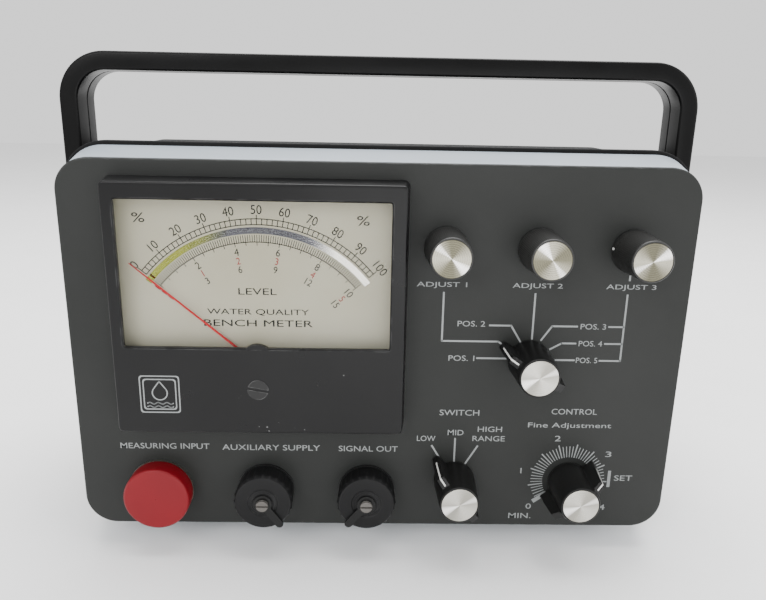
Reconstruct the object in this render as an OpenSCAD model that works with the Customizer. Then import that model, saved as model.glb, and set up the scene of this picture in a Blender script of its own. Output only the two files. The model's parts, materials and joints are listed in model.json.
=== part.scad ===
// Bench meter for a water quality probe: panel meter, controls, receptacles and a swinging handle.
// Origin at the middle of the rectangle it stands on. +X right, +Y into the case, +Z up.

/* [Case] */
// Width of the front panel
panel_w = 254; // [246:1:320]
// Height of the front panel
panel_h = 158.7; // [156:0.1:200]
// Thickness of the front panel
panel_t = 3; // [2:0.1:4]
// Corner radius of the front panel
panel_r = 13; // [8:0.5:14]
// Depth of the flared front housing, with the panel
housing_d = 20; // [17:0.5:26]
// How far the housing flares out past the panel
flare = 4; // [1:0.5:5]
// Depth of the whole case, front panel to back
case_d = 118; // [105:1:150]
// How far the rear case stands out past the housing
lip = 1.5; // [0.5:0.1:3]
// How far the rear case steps in behind its lip
case_step = 3.5; // [1:0.1:4]
// Wall of the housing and the rear case
wall = 3; // [2.5:0.1:4]
// Rounding of the rear case's back edge
back_round = 8; // [4:0.5:9]
// Thickness of the case gasket
gasket_t = 1; // [0.5:0.1:2]
// Height of a rubber foot
foot_h = 6; // [4:0.5:12]
// Radius of a rubber foot
foot_r = 8.5; // [7:0.5:12]

/* [Handle] */
// Height of the handle's top above its pivot
handle_reach = 121.5; // [118:0.1:150]
// Depth of the handle's strap, front to back
handle_d = 21; // [14:0.5:22]
// Thickness of the handle's strap
handle_t = 8; // [6:0.5:10]
// Distance of the pivot behind the panel's face
pivot_depth = 59; // [52:0.5:66]
// Radius of the pivot's shoulder
pivot_r = 4; // [3:0.1:5]
// Thickness of a friction washer
washer_t = 1.8; // [1.5:0.1:4]

/* [Meter] */
// Width of the meter cover's face
meter_w = 116; // [112:0.5:122]
// Height of the meter cover's face
meter_h = 102; // [98:0.5:106]
// How far the meter stands out of the panel
meter_d = 10.5; // [9.5:0.5:16]
// Gap from the panel's left edge to the meter cover
meter_margin = 21; // [20:0.5:30]
// Gap from the panel's top edge to the meter cover
meter_drop = 7.7; // [6:0.1:12]
// Width of the meter's window
window_w = 105.5; // [90:0.5:106]
// Height of the meter's window
window_h = 58.6; // [50:0.1:60]
// Radius of the barrel behind the meter
barrel_r = 30; // [28:0.5:32]
// Length of the barrel behind the panel's face
barrel_d = 32; // [30:0.5:38]

/* [Controls] */
// Height of a knob above the panel
knob_h = 21.4; // [19:0.1:26]
// Radius of a knob at its foot
knob_r = 8.9; // [8.4:0.1:10]
// Radius of the metal disc in a knob's top
disc_r = 7.4; // [6.5:0.1:7.8]
// Reach of a pointer knob's fin from its axis
fin_reach = 14; // [12:0.1:16]
// Spacing of the three trimming knobs
knob_pitch = 37.6; // [36:0.1:40]
// Radius of a control shaft
shaft_r = 3.17; // [3:0.01:3.5]

/* [Receptacles] */
// Radius of the probe receptacle's barrel
probe_r = 12.7; // [12:0.1:14]
// Radius of the two threaded receptacles
thread_r = 11.11; // [10.5:0.01:12]
// Height of the push-on probe cap
probe_cap_h = 9.7; // [8.5:0.1:14]
// Height of a screw cap
screw_cap_h = 11.6; // [10.5:0.1:14]

/* [Fits] */
// Gap of a turning shaft in its bore, on the radius
run_gap = 0.05; // [0.03:0.01:0.09]
// Gap of a fixed piece in its hole, on the radius
seat_gap = 0.1; // [0.05:0.01:0.2]
// Gap between faces that pass each other
face_gap = 0.3; // [0.2:0.05:0.5]

/* [Hidden] */
$fn = 64;

// Outlines of the case, and where its joints lie behind the panel's face
housing_w = panel_w + 2 * flare;
housing_h = panel_h + 2 * flare;
housing_r = panel_r + flare;
case_w = housing_w + 2 * lip;
case_h = housing_h + 2 * lip;
case_r = housing_r + lip;
case_y = housing_d + gasket_t;
lip_d = 4;
side = wall + case_step;

// Bodies are drawn from the middle of the panel's face and then set on the floor
floor_z = case_h / 2 + foot_h;
centre_y = (case_d - knob_h) / 2;

// The panel's fixing flange and its studs
flange_w = 10;
flange_t = 3;
stud_r = 1.5;
stud_x = panel_w / 2 - flange_w + 2.5;
stud_z = panel_h / 2 - 28;
stud_l = 12;

// The case's corner bosses and long screws
boss_r = 6;
boss_x = panel_w / 2 - wall - boss_r + 0.5;
boss_z = panel_h / 2 - wall - boss_r + 0.5;
screw_r = 2;
head_r = 4;
head_h = 2.5;

// Feet stand on the rear case
foot_x = case_w / 2 - 27;
foot_y = [case_y + foot_r + 6, case_d - back_round - foot_r];
foot_screw_r = 1.75;

// The handle and its pivots
leg_in = case_w / 2 + washer_t + run_gap;
leg_out = leg_in + handle_t;
handle_r = 21;
pivot_boss_r = 10;
pivot_boss_l = 6;
bush_r = 6;
pivot_thread_r = 3;
groove_w = 1.2;
groove_deep = 0.8;

// The meter: cover, window, dial and movement
draft = 1.25;
meter_x = -panel_w / 2 + meter_margin + meter_w / 2;
meter_z = panel_h / 2 - meter_drop - meter_h / 2;
window_x = meter_x - 0.6;
window_z = meter_z + 15;
cover_wall = 2;
glass_t = 1.5;
glass_lap = 2;
plate_t = 1.6;
dial_t = 0.8;
dial_y = -plate_t - dial_t;
axis_x = meter_x - 0.66;
axis_z = meter_z - 23.5;
dial_foot = window_z - window_h / 2 - 5;
cavity_w = meter_w - 2 * cover_wall;
cavity_h = meter_h - 2 * cover_wall;
dial_top = meter_z + cavity_h / 2 - 0.5;
mirror_r = 56.7;
mirror_w = 2.6;
mirror_half = 52;
barrel_z = meter_z - 17.7;
pointer_l = 65.5;
pointer_y = dial_y - 2.2;
pointer_rest = 50;
core_r = 9;
magnet_in = 13;
magnet_out = 20;
core_y = [8, 24];
staff_r = 0.6;
adjust_z = meter_z - 31.9;
adjust_r = 4.4;
adjust_sink = 1.1;
adjust_proud = 0.2;
adjust_shank_r = adjust_r - 1.2;
adjust_slot = 1.1;
adjust_tilt = 10;
meter_stud_x = meter_w / 2 - 8;
meter_stud_z = meter_h / 2 - 8;

// The controls: [x, z] of each, from the panel's right edge and top edge
cal_x = panel_w / 2 - 25.6;
row_z = panel_h / 2 - 33.1;
red_line_at = [cal_x - 2 * knob_pitch, row_z];
zero_at = [cal_x - knob_pitch, row_z];
calibrate_at = [cal_x, row_z];
selector_at = [cal_x - knob_pitch - 1.1, row_z - 46.9];
low_z = -panel_h / 2 + 22.75;
stirrer_at = [cal_x - 67.4, low_z];
salinity_at = [cal_x - 17.35, low_z];
pot_sites = [red_line_at, zero_at, calibrate_at, salinity_at];
switch_sites = [selector_at, stirrer_at];
selector_rest = 150;
stirrer_rest = 129;
salinity_rest = 39;
bushing_r = 4.75;
bushing_out = 4;
nut_t = 2.4;
nut_r = 6.4;
pot_r = 12;
pot_back = 24;
switch_r = 14;
switch_back = 38;
body_gap = 5;
shaft_in = 14;
shaft_out = knob_h - 4;
knob_foot = 1;
knob_taper = 0.8;
disc_t = 1;
disc_proud = 0.2;
fin_w = 4.4;
fin_lean = 1.6;
fin_top = knob_h - 4.6;
fin_slope = 1.6;
// Edge of a fin from its foot to where it meets the round body: [reach, place along the axis]
fin_edge = [[fin_reach, -knob_foot], [fin_reach - fin_lean, -fin_top], [knob_r + 0.6, -fin_top - fin_slope]];

// The receptacles: [x, z] of each, in a row along the bottom
socket_z = -panel_h / 2 + 17;
charger_at = [meter_x, socket_z];
probe_at = [meter_x - 45.5, socket_z];
recorder_at = [meter_x + 43.8, socket_z];
socket_back = 18;
socket_floor = -0.5;
ring_t = 1.2;
socket_nut = 2.5;
cap_foot = 1.5;
cap_wall = 1.0;
cap_top = 1.8;
pin_r = 0.8;
lug_r = 4;
lug_t = 1;
lug_w = 3.4;
swivel_r = 1.5;
flute_r = 0.5;

// The board on the rear case's posts, and the battery pack below it
board_t = 1.6;
post_l = 14;
board_w = 200;
board_h = 96;
board_z = 24;
board_y = case_d - wall - post_l - board_t;
post_x = board_w / 2 - 8;
post_z = board_h / 2 - 8;
cell_r = 16.5;
cell_l = 58;
cell_gap = 0.5;
holder_wall = 2;
cell_y = case_d - wall - holder_wall - cell_r - cell_gap;
cell_z = -case_h / 2 + side + holder_wall + cell_r + cell_gap;

// Rounded plate outline, centred, from squares and circles
module outline(w, h, r) {
    square([w - 2 * r, h], center = true);
    square([w, h - 2 * r], center = true);
    for (x = [-1, 1], z = [-1, 1]) translate([x * (w / 2 - r), z * (h / 2 - r)]) circle(r);
}

// Anything drawn flat, standing in the XZ plane from one depth to another
module slab(front, back) {
    translate([0, back, 0]) rotate([90, 0, 0]) linear_extrude(back - front) children();
}

// A round rod along Y at [x, z]; its front end may have its own radius
module rod(at, r, front, back, r_front = undef) {
    translate([at[0], back, at[1]]) rotate([90, 0, 0])
        cylinder(h = back - front, r1 = r, r2 = is_undef(r_front) ? r : r_front);
}

// A hexagon nut along Y around a hole
module hex_nut(at, across, hole, front, back) {
    difference() {
        translate([at[0], back, at[1]]) rotate([90, 0, 0]) cylinder(h = back - front, r = across, $fn = 6);
        rod(at, hole, front - 1, back + 1);
    }
}

// The four mirrored corners of a rectangle
module corners(x, z) {
    for (sx = [-1, 1], sz = [-1, 1]) translate([sx * x, 0, sz * z]) children();
}

// Both sides of the case, the right one as drawn
module both_sides() {
    children();
    mirror([1, 0, 0]) children();
}

// ---- Case ----

module front_housing() color("lightslategray") {
    difference() {
        hull() {
            slab(panel_t, panel_t + 0.5) outline(panel_w, panel_h, panel_r, $fn = 32);
            slab(housing_d - 0.5, housing_d) outline(housing_w, housing_h, housing_r, $fn = 32);
        }
        slab(0, housing_d + 1) outline(panel_w - 2 * flange_w, panel_h - 2 * flange_w, 4);
        slab(panel_t + flange_t, housing_d + 1)
            outline(panel_w - 2 * wall, panel_h - 2 * wall, panel_r - wall);
        corners(stud_x, stud_z) rod([0, 0], stud_r + seat_gap, 0, panel_t + flange_t + 1);
        for (spot = [[probe_at, probe_r], [charger_at, thread_r], [recorder_at, thread_r]]) {
            half = spot[1] + socket_nut + face_gap;
            translate([spot[0][0] - half, panel_t - 1, -panel_h / 2 + wall])
                cube([2 * half, flange_t + 2, flange_w]);
        }
    }
    corners(boss_x, boss_z) difference() {
        rod([0, 0], boss_r, panel_t + flange_t, housing_d);
        rod([0, 0], screw_r + seat_gap, panel_t + flange_t + 2, housing_d + 1);
    }
}

module front_panel() color("dimgray") difference() {
    slab(0, panel_t) outline(panel_w, panel_h, panel_r);
    rod([meter_x, barrel_z], barrel_r + face_gap, -1, panel_t + 1);
    translate([meter_x, 0, meter_z]) corners(meter_stud_x, meter_stud_z)
        rod([0, 0], stud_r + seat_gap, -1, panel_t + 1);
    for (at = concat(pot_sites, switch_sites)) rod(at, bushing_r + seat_gap, -1, panel_t + 1);
    for (at = [charger_at, recorder_at]) rod(at, thread_r + seat_gap, -1, panel_t + 1);
    rod(probe_at, probe_r + seat_gap, -1, panel_t + 1);
}

module panel_studs() color("silver") corners(stud_x, stud_z) {
    rod([0, 0], stud_r, panel_t, panel_t + stud_l - 1);
    hex_nut([0, 0], 2.4, stud_r - 0.01, panel_t + flange_t, panel_t + flange_t + 2);
}

module case_gasket() color("black") slab(housing_d, case_y) difference() {
    union() {
        difference() {
            outline(housing_w, housing_h, housing_r);
            outline(panel_w - 2 * wall, panel_h - 2 * wall, panel_r - wall);
        }
        for (x = [-1, 1], z = [-1, 1]) translate([x * boss_x, z * boss_z]) circle(boss_r);
    }
    for (x = [-1, 1], z = [-1, 1]) translate([x * boss_x, z * boss_z]) circle(screw_r + seat_gap);
}

// The rear case's solid shape: a lip, then straight sides with a rounded back edge
module case_body() {
    slab(case_y, case_y + lip_d) outline(case_w, case_h, case_r);
    body_r = case_r - case_step;
    // Middle of each corner and the angle round it, then radius and depth of each ring
    ring = [for (q = [0:3], a = [0:10:90]) [
        (q == 0 || q == 3 ? 1 : -1) * (case_w / 2 - case_r),
        (q < 2 ? 1 : -1) * (case_h / 2 - case_r), 90 * q + a]];
    levels = concat([[body_r, case_y]], [for (a = [0:18:90])
        [body_r - back_round * (1 - cos(a)), case_d - back_round * (1 - sin(a))]]);
    n = len(ring);
    last = len(levels) - 1;
    polyhedron(
        [for (l = levels, p = ring) [p[0] + l[0] * cos(p[2]), l[1], p[1] + l[0] * sin(p[2])]],
        concat(
            [[for (i = [0:n - 1]) n - 1 - i], [for (i = [0:n - 1]) last * n + i]],
            [for (k = [0:last - 1], i = [0:n - 1])
                [k * n + i, k * n + (i + 1) % n, (k + 1) * n + (i + 1) % n]],
            [for (k = [0:last - 1], i = [0:n - 1])
                [k * n + i, (k + 1) * n + (i + 1) % n, (k + 1) * n + i]]
        ));
}

module rear_case() color("#2b2c2e") difference() {
    union() {
        difference() {
            case_body();
            slab(case_y - 1, case_d - wall) outline(case_w - 2 * side, case_h - 2 * side, case_r - side);
        }
        for (x = [-1, 1], y = foot_y) translate([x * foot_x, y, -case_h / 2])
            cylinder(h = side - 0.5, r = foot_r);
        corners(boss_x, boss_z) rod([0, 0], boss_r, case_y, case_d - wall + 0.5);
        translate([0, 0, board_z]) corners(post_x, post_z)
            rod([0, 0], 4, case_d - wall - post_l, case_d - wall + 0.5);
        both_sides() pivot_rod(pivot_boss_r, case_w / 2 - side - pivot_boss_l, case_w / 2);
    }
    corners(boss_x, boss_z) {
        rod([0, 0], screw_r + seat_gap, case_y - 1, case_d + 1);
        rod([0, 0], head_r + seat_gap, case_d - head_h - 0.5, case_d + 1);
    }
    translate([0, 0, board_z]) corners(post_x, post_z)
        rod([0, 0], screw_r - 0.5 + seat_gap, case_d - wall - post_l - 1, case_d - wall - post_l + 8);
    both_sides() pivot_rod(bush_r + 0.02, case_w / 2 - side - pivot_boss_l - 1, case_w / 2 + 1);
    for (x = [-1, 1], y = foot_y) translate([x * foot_x, y, -case_h / 2 - 1])
        cylinder(h = side + 2, r = foot_screw_r + seat_gap);
}

module case_screws() color("silver") corners(boss_x, boss_z) difference() {
    union() {
        rod([0, 0], screw_r, panel_t + flange_t + 3, case_d - head_h);
        rod([0, 0], head_r, case_d - head_h - 0.4, case_d - 0.4);
    }
    translate([-head_r - 1, case_d - 1.2, -0.5]) cube([2 * head_r + 2, 2, 1]);
}

module rubber_feet() color("#202020") for (x = [-1, 1], y = foot_y)
    translate([x * foot_x, y, -floor_z]) difference() {
        cylinder(h = foot_h, r1 = foot_r - 1, r2 = foot_r);
        translate([0, 0, -1]) cylinder(h = foot_h + 2, r = foot_screw_r + seat_gap);
        translate([0, 0, -1]) cylinder(h = 4, r = 3.6);
    }

module foot_screws() color("silver") for (x = [-1, 1], y = foot_y)
    translate([x * foot_x, y, -floor_z]) difference() {
        union() {
            translate([0, 0, 1]) cylinder(h = 2, r = 3.2);
            translate([0, 0, 3]) cylinder(h = foot_h + side, r = foot_screw_r);
        }
        translate([-4, -0.4, 0]) cube([8, 0.8, 1.8]);
    }

// ---- Handle and pivots, drawn along X ----

module pivot_rod(r, from, to) {
    translate([from, pivot_depth, 0]) rotate([0, 90, 0]) cylinder(h = to - from, r = r);
}

module pivot_bushes() color("goldenrod") both_sides() difference() {
    pivot_rod(bush_r, case_w / 2 - side - pivot_boss_l, case_w / 2);
    pivot_rod(pivot_thread_r + seat_gap, case_w / 2 - side - pivot_boss_l - 1, case_w / 2 + 1);
}

module pivot_screws() color("silver") both_sides() difference() {
    union() {
        pivot_rod(pivot_thread_r, case_w / 2 - side - pivot_boss_l + 0.5, case_w / 2);
        pivot_rod(pivot_r, case_w / 2, leg_out + run_gap);
        pivot_rod(7, leg_out + run_gap, leg_out + 2);
        translate([leg_out + 2, pivot_depth, 0]) rotate([0, 90, 0]) cylinder(h = 1.2, r1 = 7, r2 = 5.4);
    }
    translate([leg_out + 1.8, pivot_depth - 8, -0.7]) cube([3, 16, 1.4]);
}

module friction_washers() color("#303030") both_sides() difference() {
    pivot_rod(pivot_boss_r, case_w / 2, case_w / 2 + washer_t);
    pivot_rod(pivot_r + run_gap, case_w / 2 - 1, case_w / 2 + washer_t + 1);
}

// The strap's outline between two sizes of rounded arch, open below the pivot
module arch(half_w, top, r) {
    translate([-half_w, 0]) square([2 * half_w, top - r]);
    translate([-half_w + r, 0]) square([2 * (half_w - r), top]);
    for (x = [-1, 1]) translate([x * (half_w - r), top - r]) circle(r);
}

module carry_handle() color("#232325") difference() {
    union() {
        slab(pivot_depth - handle_d / 2, pivot_depth + handle_d / 2) difference() {
            arch(leg_out, handle_reach, handle_r);
            translate([0, -1]) arch(leg_in, handle_reach - handle_t + 1, handle_r - handle_t);
        }
        both_sides() pivot_rod(handle_d / 2, leg_in, leg_out);
    }
    both_sides() pivot_rod(pivot_r + run_gap, leg_in - 1, leg_out + 1);
    slab(pivot_depth - groove_w / 2 - 1, pivot_depth + groove_w / 2 - 1) difference() {
        translate([0, 20]) arch(leg_in + groove_deep, handle_reach - handle_t + groove_deep - 20,
                                handle_r - handle_t + groove_deep);
        translate([0, 19]) arch(leg_in - 1, handle_reach - handle_t - 20, handle_r - handle_t - 1);
    }
}

// ---- Meter ----

module meter_frame() translate([meter_x, 0, meter_z]) children();

module meter_cover() color("#262626") difference() {
    meter_frame() hull() {
        slab(-0.5, 0) outline(meter_w + 2 * draft, meter_h + 2 * draft, 2.5, $fn = 32);
        slab(-meter_d, -meter_d + 0.5) outline(meter_w, meter_h, 1.5, $fn = 32);
    }
    meter_frame() slab(-meter_d + cover_wall, 1) outline(cavity_w, cavity_h, 1);
    difference() {
        translate([window_x, 0, window_z]) slab(-meter_d - 1, 0) outline(window_w, window_h, 1);
        rod([axis_x, window_z - window_h / 2 - 5.2], 6.8, -meter_d - 2, 1);
    }
    rod([axis_x, adjust_z], adjust_shank_r + run_gap, -meter_d - 1, 0);
    rod([axis_x, adjust_z], adjust_r + run_gap, -meter_d - 1, -meter_d + adjust_sink + run_gap);
}

module meter_window() color("white", 0.3) translate([window_x, 0, window_z])
    slab(-meter_d + cover_wall, -meter_d + cover_wall + glass_t)
        outline(window_w + 2 * glass_lap, window_h + 2 * glass_lap, 1);

module meter_base() color("#303030") difference() {
    union() {
        meter_frame() slab(-plate_t, 0) outline(cavity_w - 0.4, cavity_h - 0.4, 1);
        difference() {
            rod([meter_x, barrel_z], barrel_r, -plate_t, barrel_d);
            rod([meter_x, barrel_z], barrel_r - 2, 0, barrel_d - 2);
        }
        for (z = [-1, 1])
            rod([axis_x, axis_z + z * (magnet_in + magnet_out) / 2], 2.5, core_y[1], barrel_d - 1);
    }
    rod([meter_x, barrel_z], barrel_r - 2, -plate_t - 1, 0.1);
    meter_frame() corners(meter_stud_x, meter_stud_z) rod([0, 0], stud_r + seat_gap, -plate_t + 0.6, 1);
}

module meter_dial() color("#e4dfcb") difference() {
    translate([meter_x, 0, (dial_top + dial_foot) / 2])
        slab(dial_y, -plate_t) square([cavity_w - 0.6, dial_top - dial_foot], center = true);
    mirror_band(dial_y - 1, 0, 0.05);
}

// The arc-shaped slot in the dial, or the strip of mirror that fills it
module mirror_band(front, back, spare) {
    side = 2 * mirror_r * sin(mirror_half);
    up = 2 * mirror_r * cos(mirror_half);
    translate([axis_x, 0, axis_z]) slab(front, back) difference() {
        intersection() {
            circle(mirror_r + spare);
            polygon([[0, 0], [-side, up], [-side, 2 * mirror_r], [side, 2 * mirror_r], [side, up]]);
        }
        circle(mirror_r - mirror_w - spare);
    }
}

module dial_mirror() color("lightgray") mirror_band(dial_y + 0.1, -plate_t, 0);

module meter_studs() color("silver") meter_frame() corners(meter_stud_x, meter_stud_z) {
    rod([0, 0], stud_r, -plate_t + 0.7, panel_t + 6);
    hex_nut([0, 0], 3.2, stud_r - 0.01, panel_t, panel_t + 2.4);
}

module meter_magnet() color("slategray") difference() {
    rod([axis_x, axis_z], magnet_out, core_y[0], core_y[1]);
    rod([axis_x, axis_z], magnet_in, core_y[0] - 1, core_y[1] + 1);
}

module coil_bridge() color("silver") translate([axis_x, 0, axis_z]) {
    difference() {
        union() {
            rod([0, 0], core_r, core_y[0] + 0.4, core_y[1] - 0.4);
            intersection() {
                translate([-2, core_y[0] + 2, -magnet_in]) cube([4, 12, 2 * magnet_in]);
                rod([0, 0], magnet_in - 0.01, core_y[0], core_y[1]);
            }
        }
        rod([0, 0], staff_r + 0.6, core_y[0] - 1, core_y[1] + 1);
    }
    for (side = [0, 1]) {
        y = side == 0 ? core_y[0] - 4.6 : core_y[1] + 3;
        difference() {
            translate([-16.5, y, -2.5]) cube([33, 1.6, 5]);
            rod([0, 0], staff_r + run_gap, y - 1, y + 3);
        }
        for (x = [-1, 1]) rod([x * 15.5, 0], 1.2, side == 0 ? y + 1.6 : core_y[1], side == 0 ? core_y[0] : y);
    }
}

module meter_coil() color("peru") translate([axis_x, 0, axis_z]) rotate([0, -pointer_rest, 0]) {
    difference() {
        translate([-11.3, core_y[0] - 2, -3.5]) cube([22.6, core_y[1] - core_y[0] + 4, 7]);
        translate([-9.6, core_y[0] - 0.8, -5]) cube([19.2, core_y[1] - core_y[0] + 1.6, 10]);
    }
    rod([0, 0], staff_r, pointer_y + 1, core_y[0] - 0.8);
    rod([0, 0], staff_r, core_y[1] + 0.8, core_y[1] + 4);
}

module meter_pointer() color("firebrick") translate([axis_x, 0, axis_z]) rotate([0, -pointer_rest, 0]) {
    slab(pointer_y, pointer_y + 0.5)
        polygon([[-0.7, -9], [0.7, -9], [0.6, 0], [0.2, pointer_l], [-0.2, pointer_l], [-0.6, 0]]);
    rod([0, 0], 2.2, pointer_y - 0.3, pointer_y + 1);
}

module zero_adjust_screw() color("#1c1c1c") translate([axis_x, 0, adjust_z]) difference() {
    union() {
        rod([0, 0], adjust_r, -meter_d - adjust_proud, -meter_d + adjust_sink);
        rod([0, 0], adjust_shank_r, -meter_d + adjust_sink, -meter_d + cover_wall + 1);
    }
    rotate([0, adjust_tilt, 0]) translate([-adjust_r - 1, -meter_d - 1, -adjust_slot / 2])
        cube([2 * adjust_r + 2, 1 + adjust_sink * 0.6, adjust_slot]);
}

// ---- Board and batteries ----

module circuit_board() color("darkgreen") translate([0, 0, board_z]) difference() {
    translate([-board_w / 2, board_y, -board_h / 2]) cube([board_w, board_t, board_h]);
    corners(post_x, post_z) rod([0, 0], screw_r - 0.3, board_y - 1, board_y + board_t + 1);
}

module board_components() color("#3a3a44") translate([0, board_y, board_z]) {
    for (i = [0:5]) translate([-75 + 26 * i, -4, 14]) cube([10, 4, 19]);
    for (i = [0:6]) translate([-76 + 24 * i, 0, -14]) rotate([90, 0, 0]) cylinder(h = 12, r = 4);
    for (i = [0:13]) translate([-78 + 12 * i, -2.4, -36]) cube([6.5, 2.4, 2.4]);
}

module board_screws() color("silver") translate([0, 0, board_z]) corners(post_x, post_z) {
    rod([0, 0], 1.5, board_y, board_y + board_t + 6);
    rod([0, 0], 3, board_y - 1.6, board_y, 2.4);
}

module battery_holder() color("#1f1f1f") translate([0, cell_y, cell_z]) difference() {
    translate([-cell_l - 6, -cell_r - cell_gap, -cell_r - cell_gap - holder_wall])
        cube([2 * cell_l + 12, 2 * (cell_r + cell_gap) + holder_wall, 2 * (cell_r + cell_gap)]);
    translate([-cell_l - 3, -cell_r - cell_gap - 1, -cell_r - cell_gap])
        cube([2 * cell_l + 6, 2 * (cell_r + cell_gap) + 1, 2 * (cell_r + cell_gap) + 1]);
}

module battery_cells() color("steelblue") for (side = [-1, 1]) translate([side < 0 ? -cell_l - 1 : 1, cell_y, cell_z])
    rotate([0, 90, 0]) {
        cylinder(h = cell_l, r = cell_r);
        translate([0, 0, cell_l]) cylinder(h = 1.5, r = 4.5);
    }

// ---- Receptacles and their caps ----

module receptacle(at, r, front) difference() {
    union() {
        rod(at, r, front, socket_back);
        rod(at, r + 1.2, -ring_t, 0);
    }
    difference() {
        rod(at, r - 2, front - 1, socket_floor);
        for (a = [45:90:315])
            rod([at[0] + 5.5 * cos(a), at[1] + 5.5 * sin(a)], pin_r, front, socket_floor + 1);
    }
}

module probe_receptacle() color("darkgray") receptacle(probe_at, probe_r, -probe_cap_h + 2);
module charger_receptacle() color("darkgray") receptacle(charger_at, thread_r, -screw_cap_h + 3.2);
module recorder_receptacle() color("darkgray") receptacle(recorder_at, thread_r, -screw_cap_h + 3.2);

module receptacle_nuts() color("silver") {
    hex_nut(probe_at, probe_r + socket_nut, probe_r + seat_gap / 2, panel_t, panel_t + 4);
    for (at = [charger_at, recorder_at])
        hex_nut(at, thread_r + socket_nut, thread_r + seat_gap / 2, panel_t, panel_t + 4);
}

module probe_cap() color("crimson") difference() {
    union() {
        rod(probe_at, probe_r + cap_wall + 0.2, -probe_cap_h + 1, -cap_foot);
        rod(probe_at, probe_r + cap_wall + 0.2, -probe_cap_h, -probe_cap_h + 1, probe_r + cap_wall - 0.8);
    }
    rod(probe_at, probe_r + run_gap, -probe_cap_h + 1.6, 0);
}

// A fluted screw cap with a hole for its swivel screw
module screw_cap(at) {
    rim = thread_r + cap_wall;
    difference() {
        union() {
            rod(at, rim, -screw_cap_h + 0.8, -cap_foot);
            rod(at, rim, -screw_cap_h, -screw_cap_h + 0.8, rim - 0.8);
            for (a = [0:15:345]) rod(at + rim * [cos(a), sin(a)], flute_r, -screw_cap_h + 1.2, -cap_foot);
        }
        rod(at, thread_r + run_gap, -screw_cap_h + cap_top + 1, 0);
        rod(at, swivel_r + 0.02, -screw_cap_h - 1, 0);
    }
}

module cap_screw(at) difference() {
    union() {
        rod(at, swivel_r, -screw_cap_h - lug_t - 0.2, -screw_cap_h + cap_top + 2.6);
        rod(at, 2.7, -screw_cap_h - lug_t - 1.6, -screw_cap_h - lug_t - 0.2, 2.1);
    }
    translate([at[0] - 4, -screw_cap_h - lug_t - 2, at[1] - 0.4]) cube([8, 1, 0.8]);
}

// A flat lug that swivels under the screw's head, its tail past the cap's rim at an angle
module cap_lug(at, angle) translate([at[0], -screw_cap_h - 0.1, at[1]]) rotate([90, 0, 0])
    rotate(angle) linear_extrude(lug_t) difference() {
        union() {
            circle(lug_r);
            translate([0, -lug_w / 2]) square([thread_r + cap_wall + 1.2, lug_w]);
        }
        circle(swivel_r + run_gap);
    }

module charger_cap() color("#262626") screw_cap(charger_at);
module charger_cap_screw() color("gray") cap_screw(charger_at);
module charger_cap_lug() color("#181818") cap_lug(charger_at, -53);
module recorder_cap() color("#262626") screw_cap(recorder_at);
module recorder_cap_screw() color("gray") cap_screw(recorder_at);
module recorder_cap_lug() color("#181818") cap_lug(recorder_at, 230);

// ---- Controls ----

module control_body(at, r, back) difference() {
    union() {
        rod(at, r, panel_t + body_gap, back);
        rod(at, bushing_r, -bushing_out, panel_t + body_gap);
    }
    rod(at, shaft_r + run_gap, -bushing_out - 1, shaft_in + face_gap);
}

module potentiometers() color("#8a8d90") for (at = pot_sites) control_body(at, pot_r, pot_back);
module rotary_switches() color("#6f5a3c") for (at = switch_sites) control_body(at, switch_r, switch_back);

module control_nuts() color("silver") for (at = concat(pot_sites, switch_sites)) {
    hex_nut(at, nut_r, bushing_r + 0.01, -nut_t, 0);
    hex_nut(at, nut_r, bushing_r + 0.01, panel_t, panel_t + nut_t);
}

module control_shaft(at) rod(at, shaft_r, -shaft_out, shaft_in);

module knob_disc(at) rod(at, disc_r, -knob_h, -knob_h + disc_t);

// A round knob; its foot is hollow over the nut
module knob(at) difference() {
    union() {
        rod(at, knob_r, -knob_h + 1, -knob_foot, knob_r - knob_taper);
        rod(at, knob_r - knob_taper, -knob_h + disc_proud, -knob_h + 1, knob_r - knob_taper - 0.3);
        children();
    }
    rod(at, knob_r - 1.6, -bushing_out - 1.2, 0);
    rod(at, shaft_r + 0.01, -shaft_out - 0.2, 0);
    rod(at, disc_r + 0.02, -knob_h - 1, -knob_h + disc_t);
}

// A pointer knob: the round knob with a fin across it, its long end at the angle
module pointer_knob(at, angle) knob(at) intersection() {
    translate([at[0], 0, at[1]]) rotate([0, -angle, 0]) translate([0, 0, -fin_w / 2]) linear_extrude(fin_w)
        polygon([for (side = [-1, 1]) for (i = [0:2])
            let (p = fin_edge[side < 0 ? i : 2 - i]) [side * p[0], p[1]]]);
    difference() {
        rod(at, fin_reach + 1, -knob_h - 1, 0);
        rod(at, disc_r + 0.5, -knob_h - 2, 1);
    }
}

module red_line_knob() color("#1c1c1c") knob(red_line_at);
module red_line_disc() color("silver") knob_disc(red_line_at);
module red_line_shaft() color("gray") control_shaft(red_line_at);
module zero_knob() color("#1c1c1c") knob(zero_at);
module zero_disc() color("silver") knob_disc(zero_at);
module zero_shaft() color("gray") control_shaft(zero_at);
module calibrate_knob() color("#1c1c1c") knob(calibrate_at);
module calibrate_disc() color("silver") knob_disc(calibrate_at);
module calibrate_shaft() color("gray") control_shaft(calibrate_at);
module selector_knob() color("#1c1c1c") pointer_knob(selector_at, selector_rest);
module selector_disc() color("silver") knob_disc(selector_at);
module selector_shaft() color("gray") control_shaft(selector_at);
module stirrer_knob() color("#1c1c1c") pointer_knob(stirrer_at, stirrer_rest);
module stirrer_disc() color("silver") knob_disc(stirrer_at);
module stirrer_shaft() color("gray") control_shaft(stirrer_at);
module salinity_knob() color("#1c1c1c") pointer_knob(salinity_at, salinity_rest);
module salinity_disc() color("silver") knob_disc(salinity_at);
module salinity_shaft() color("gray") control_shaft(salinity_at);

// Sets a piece drawn from the panel's middle on the floor, over the origin
module set_down() translate([0, -centre_y, floor_z]) children();

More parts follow.
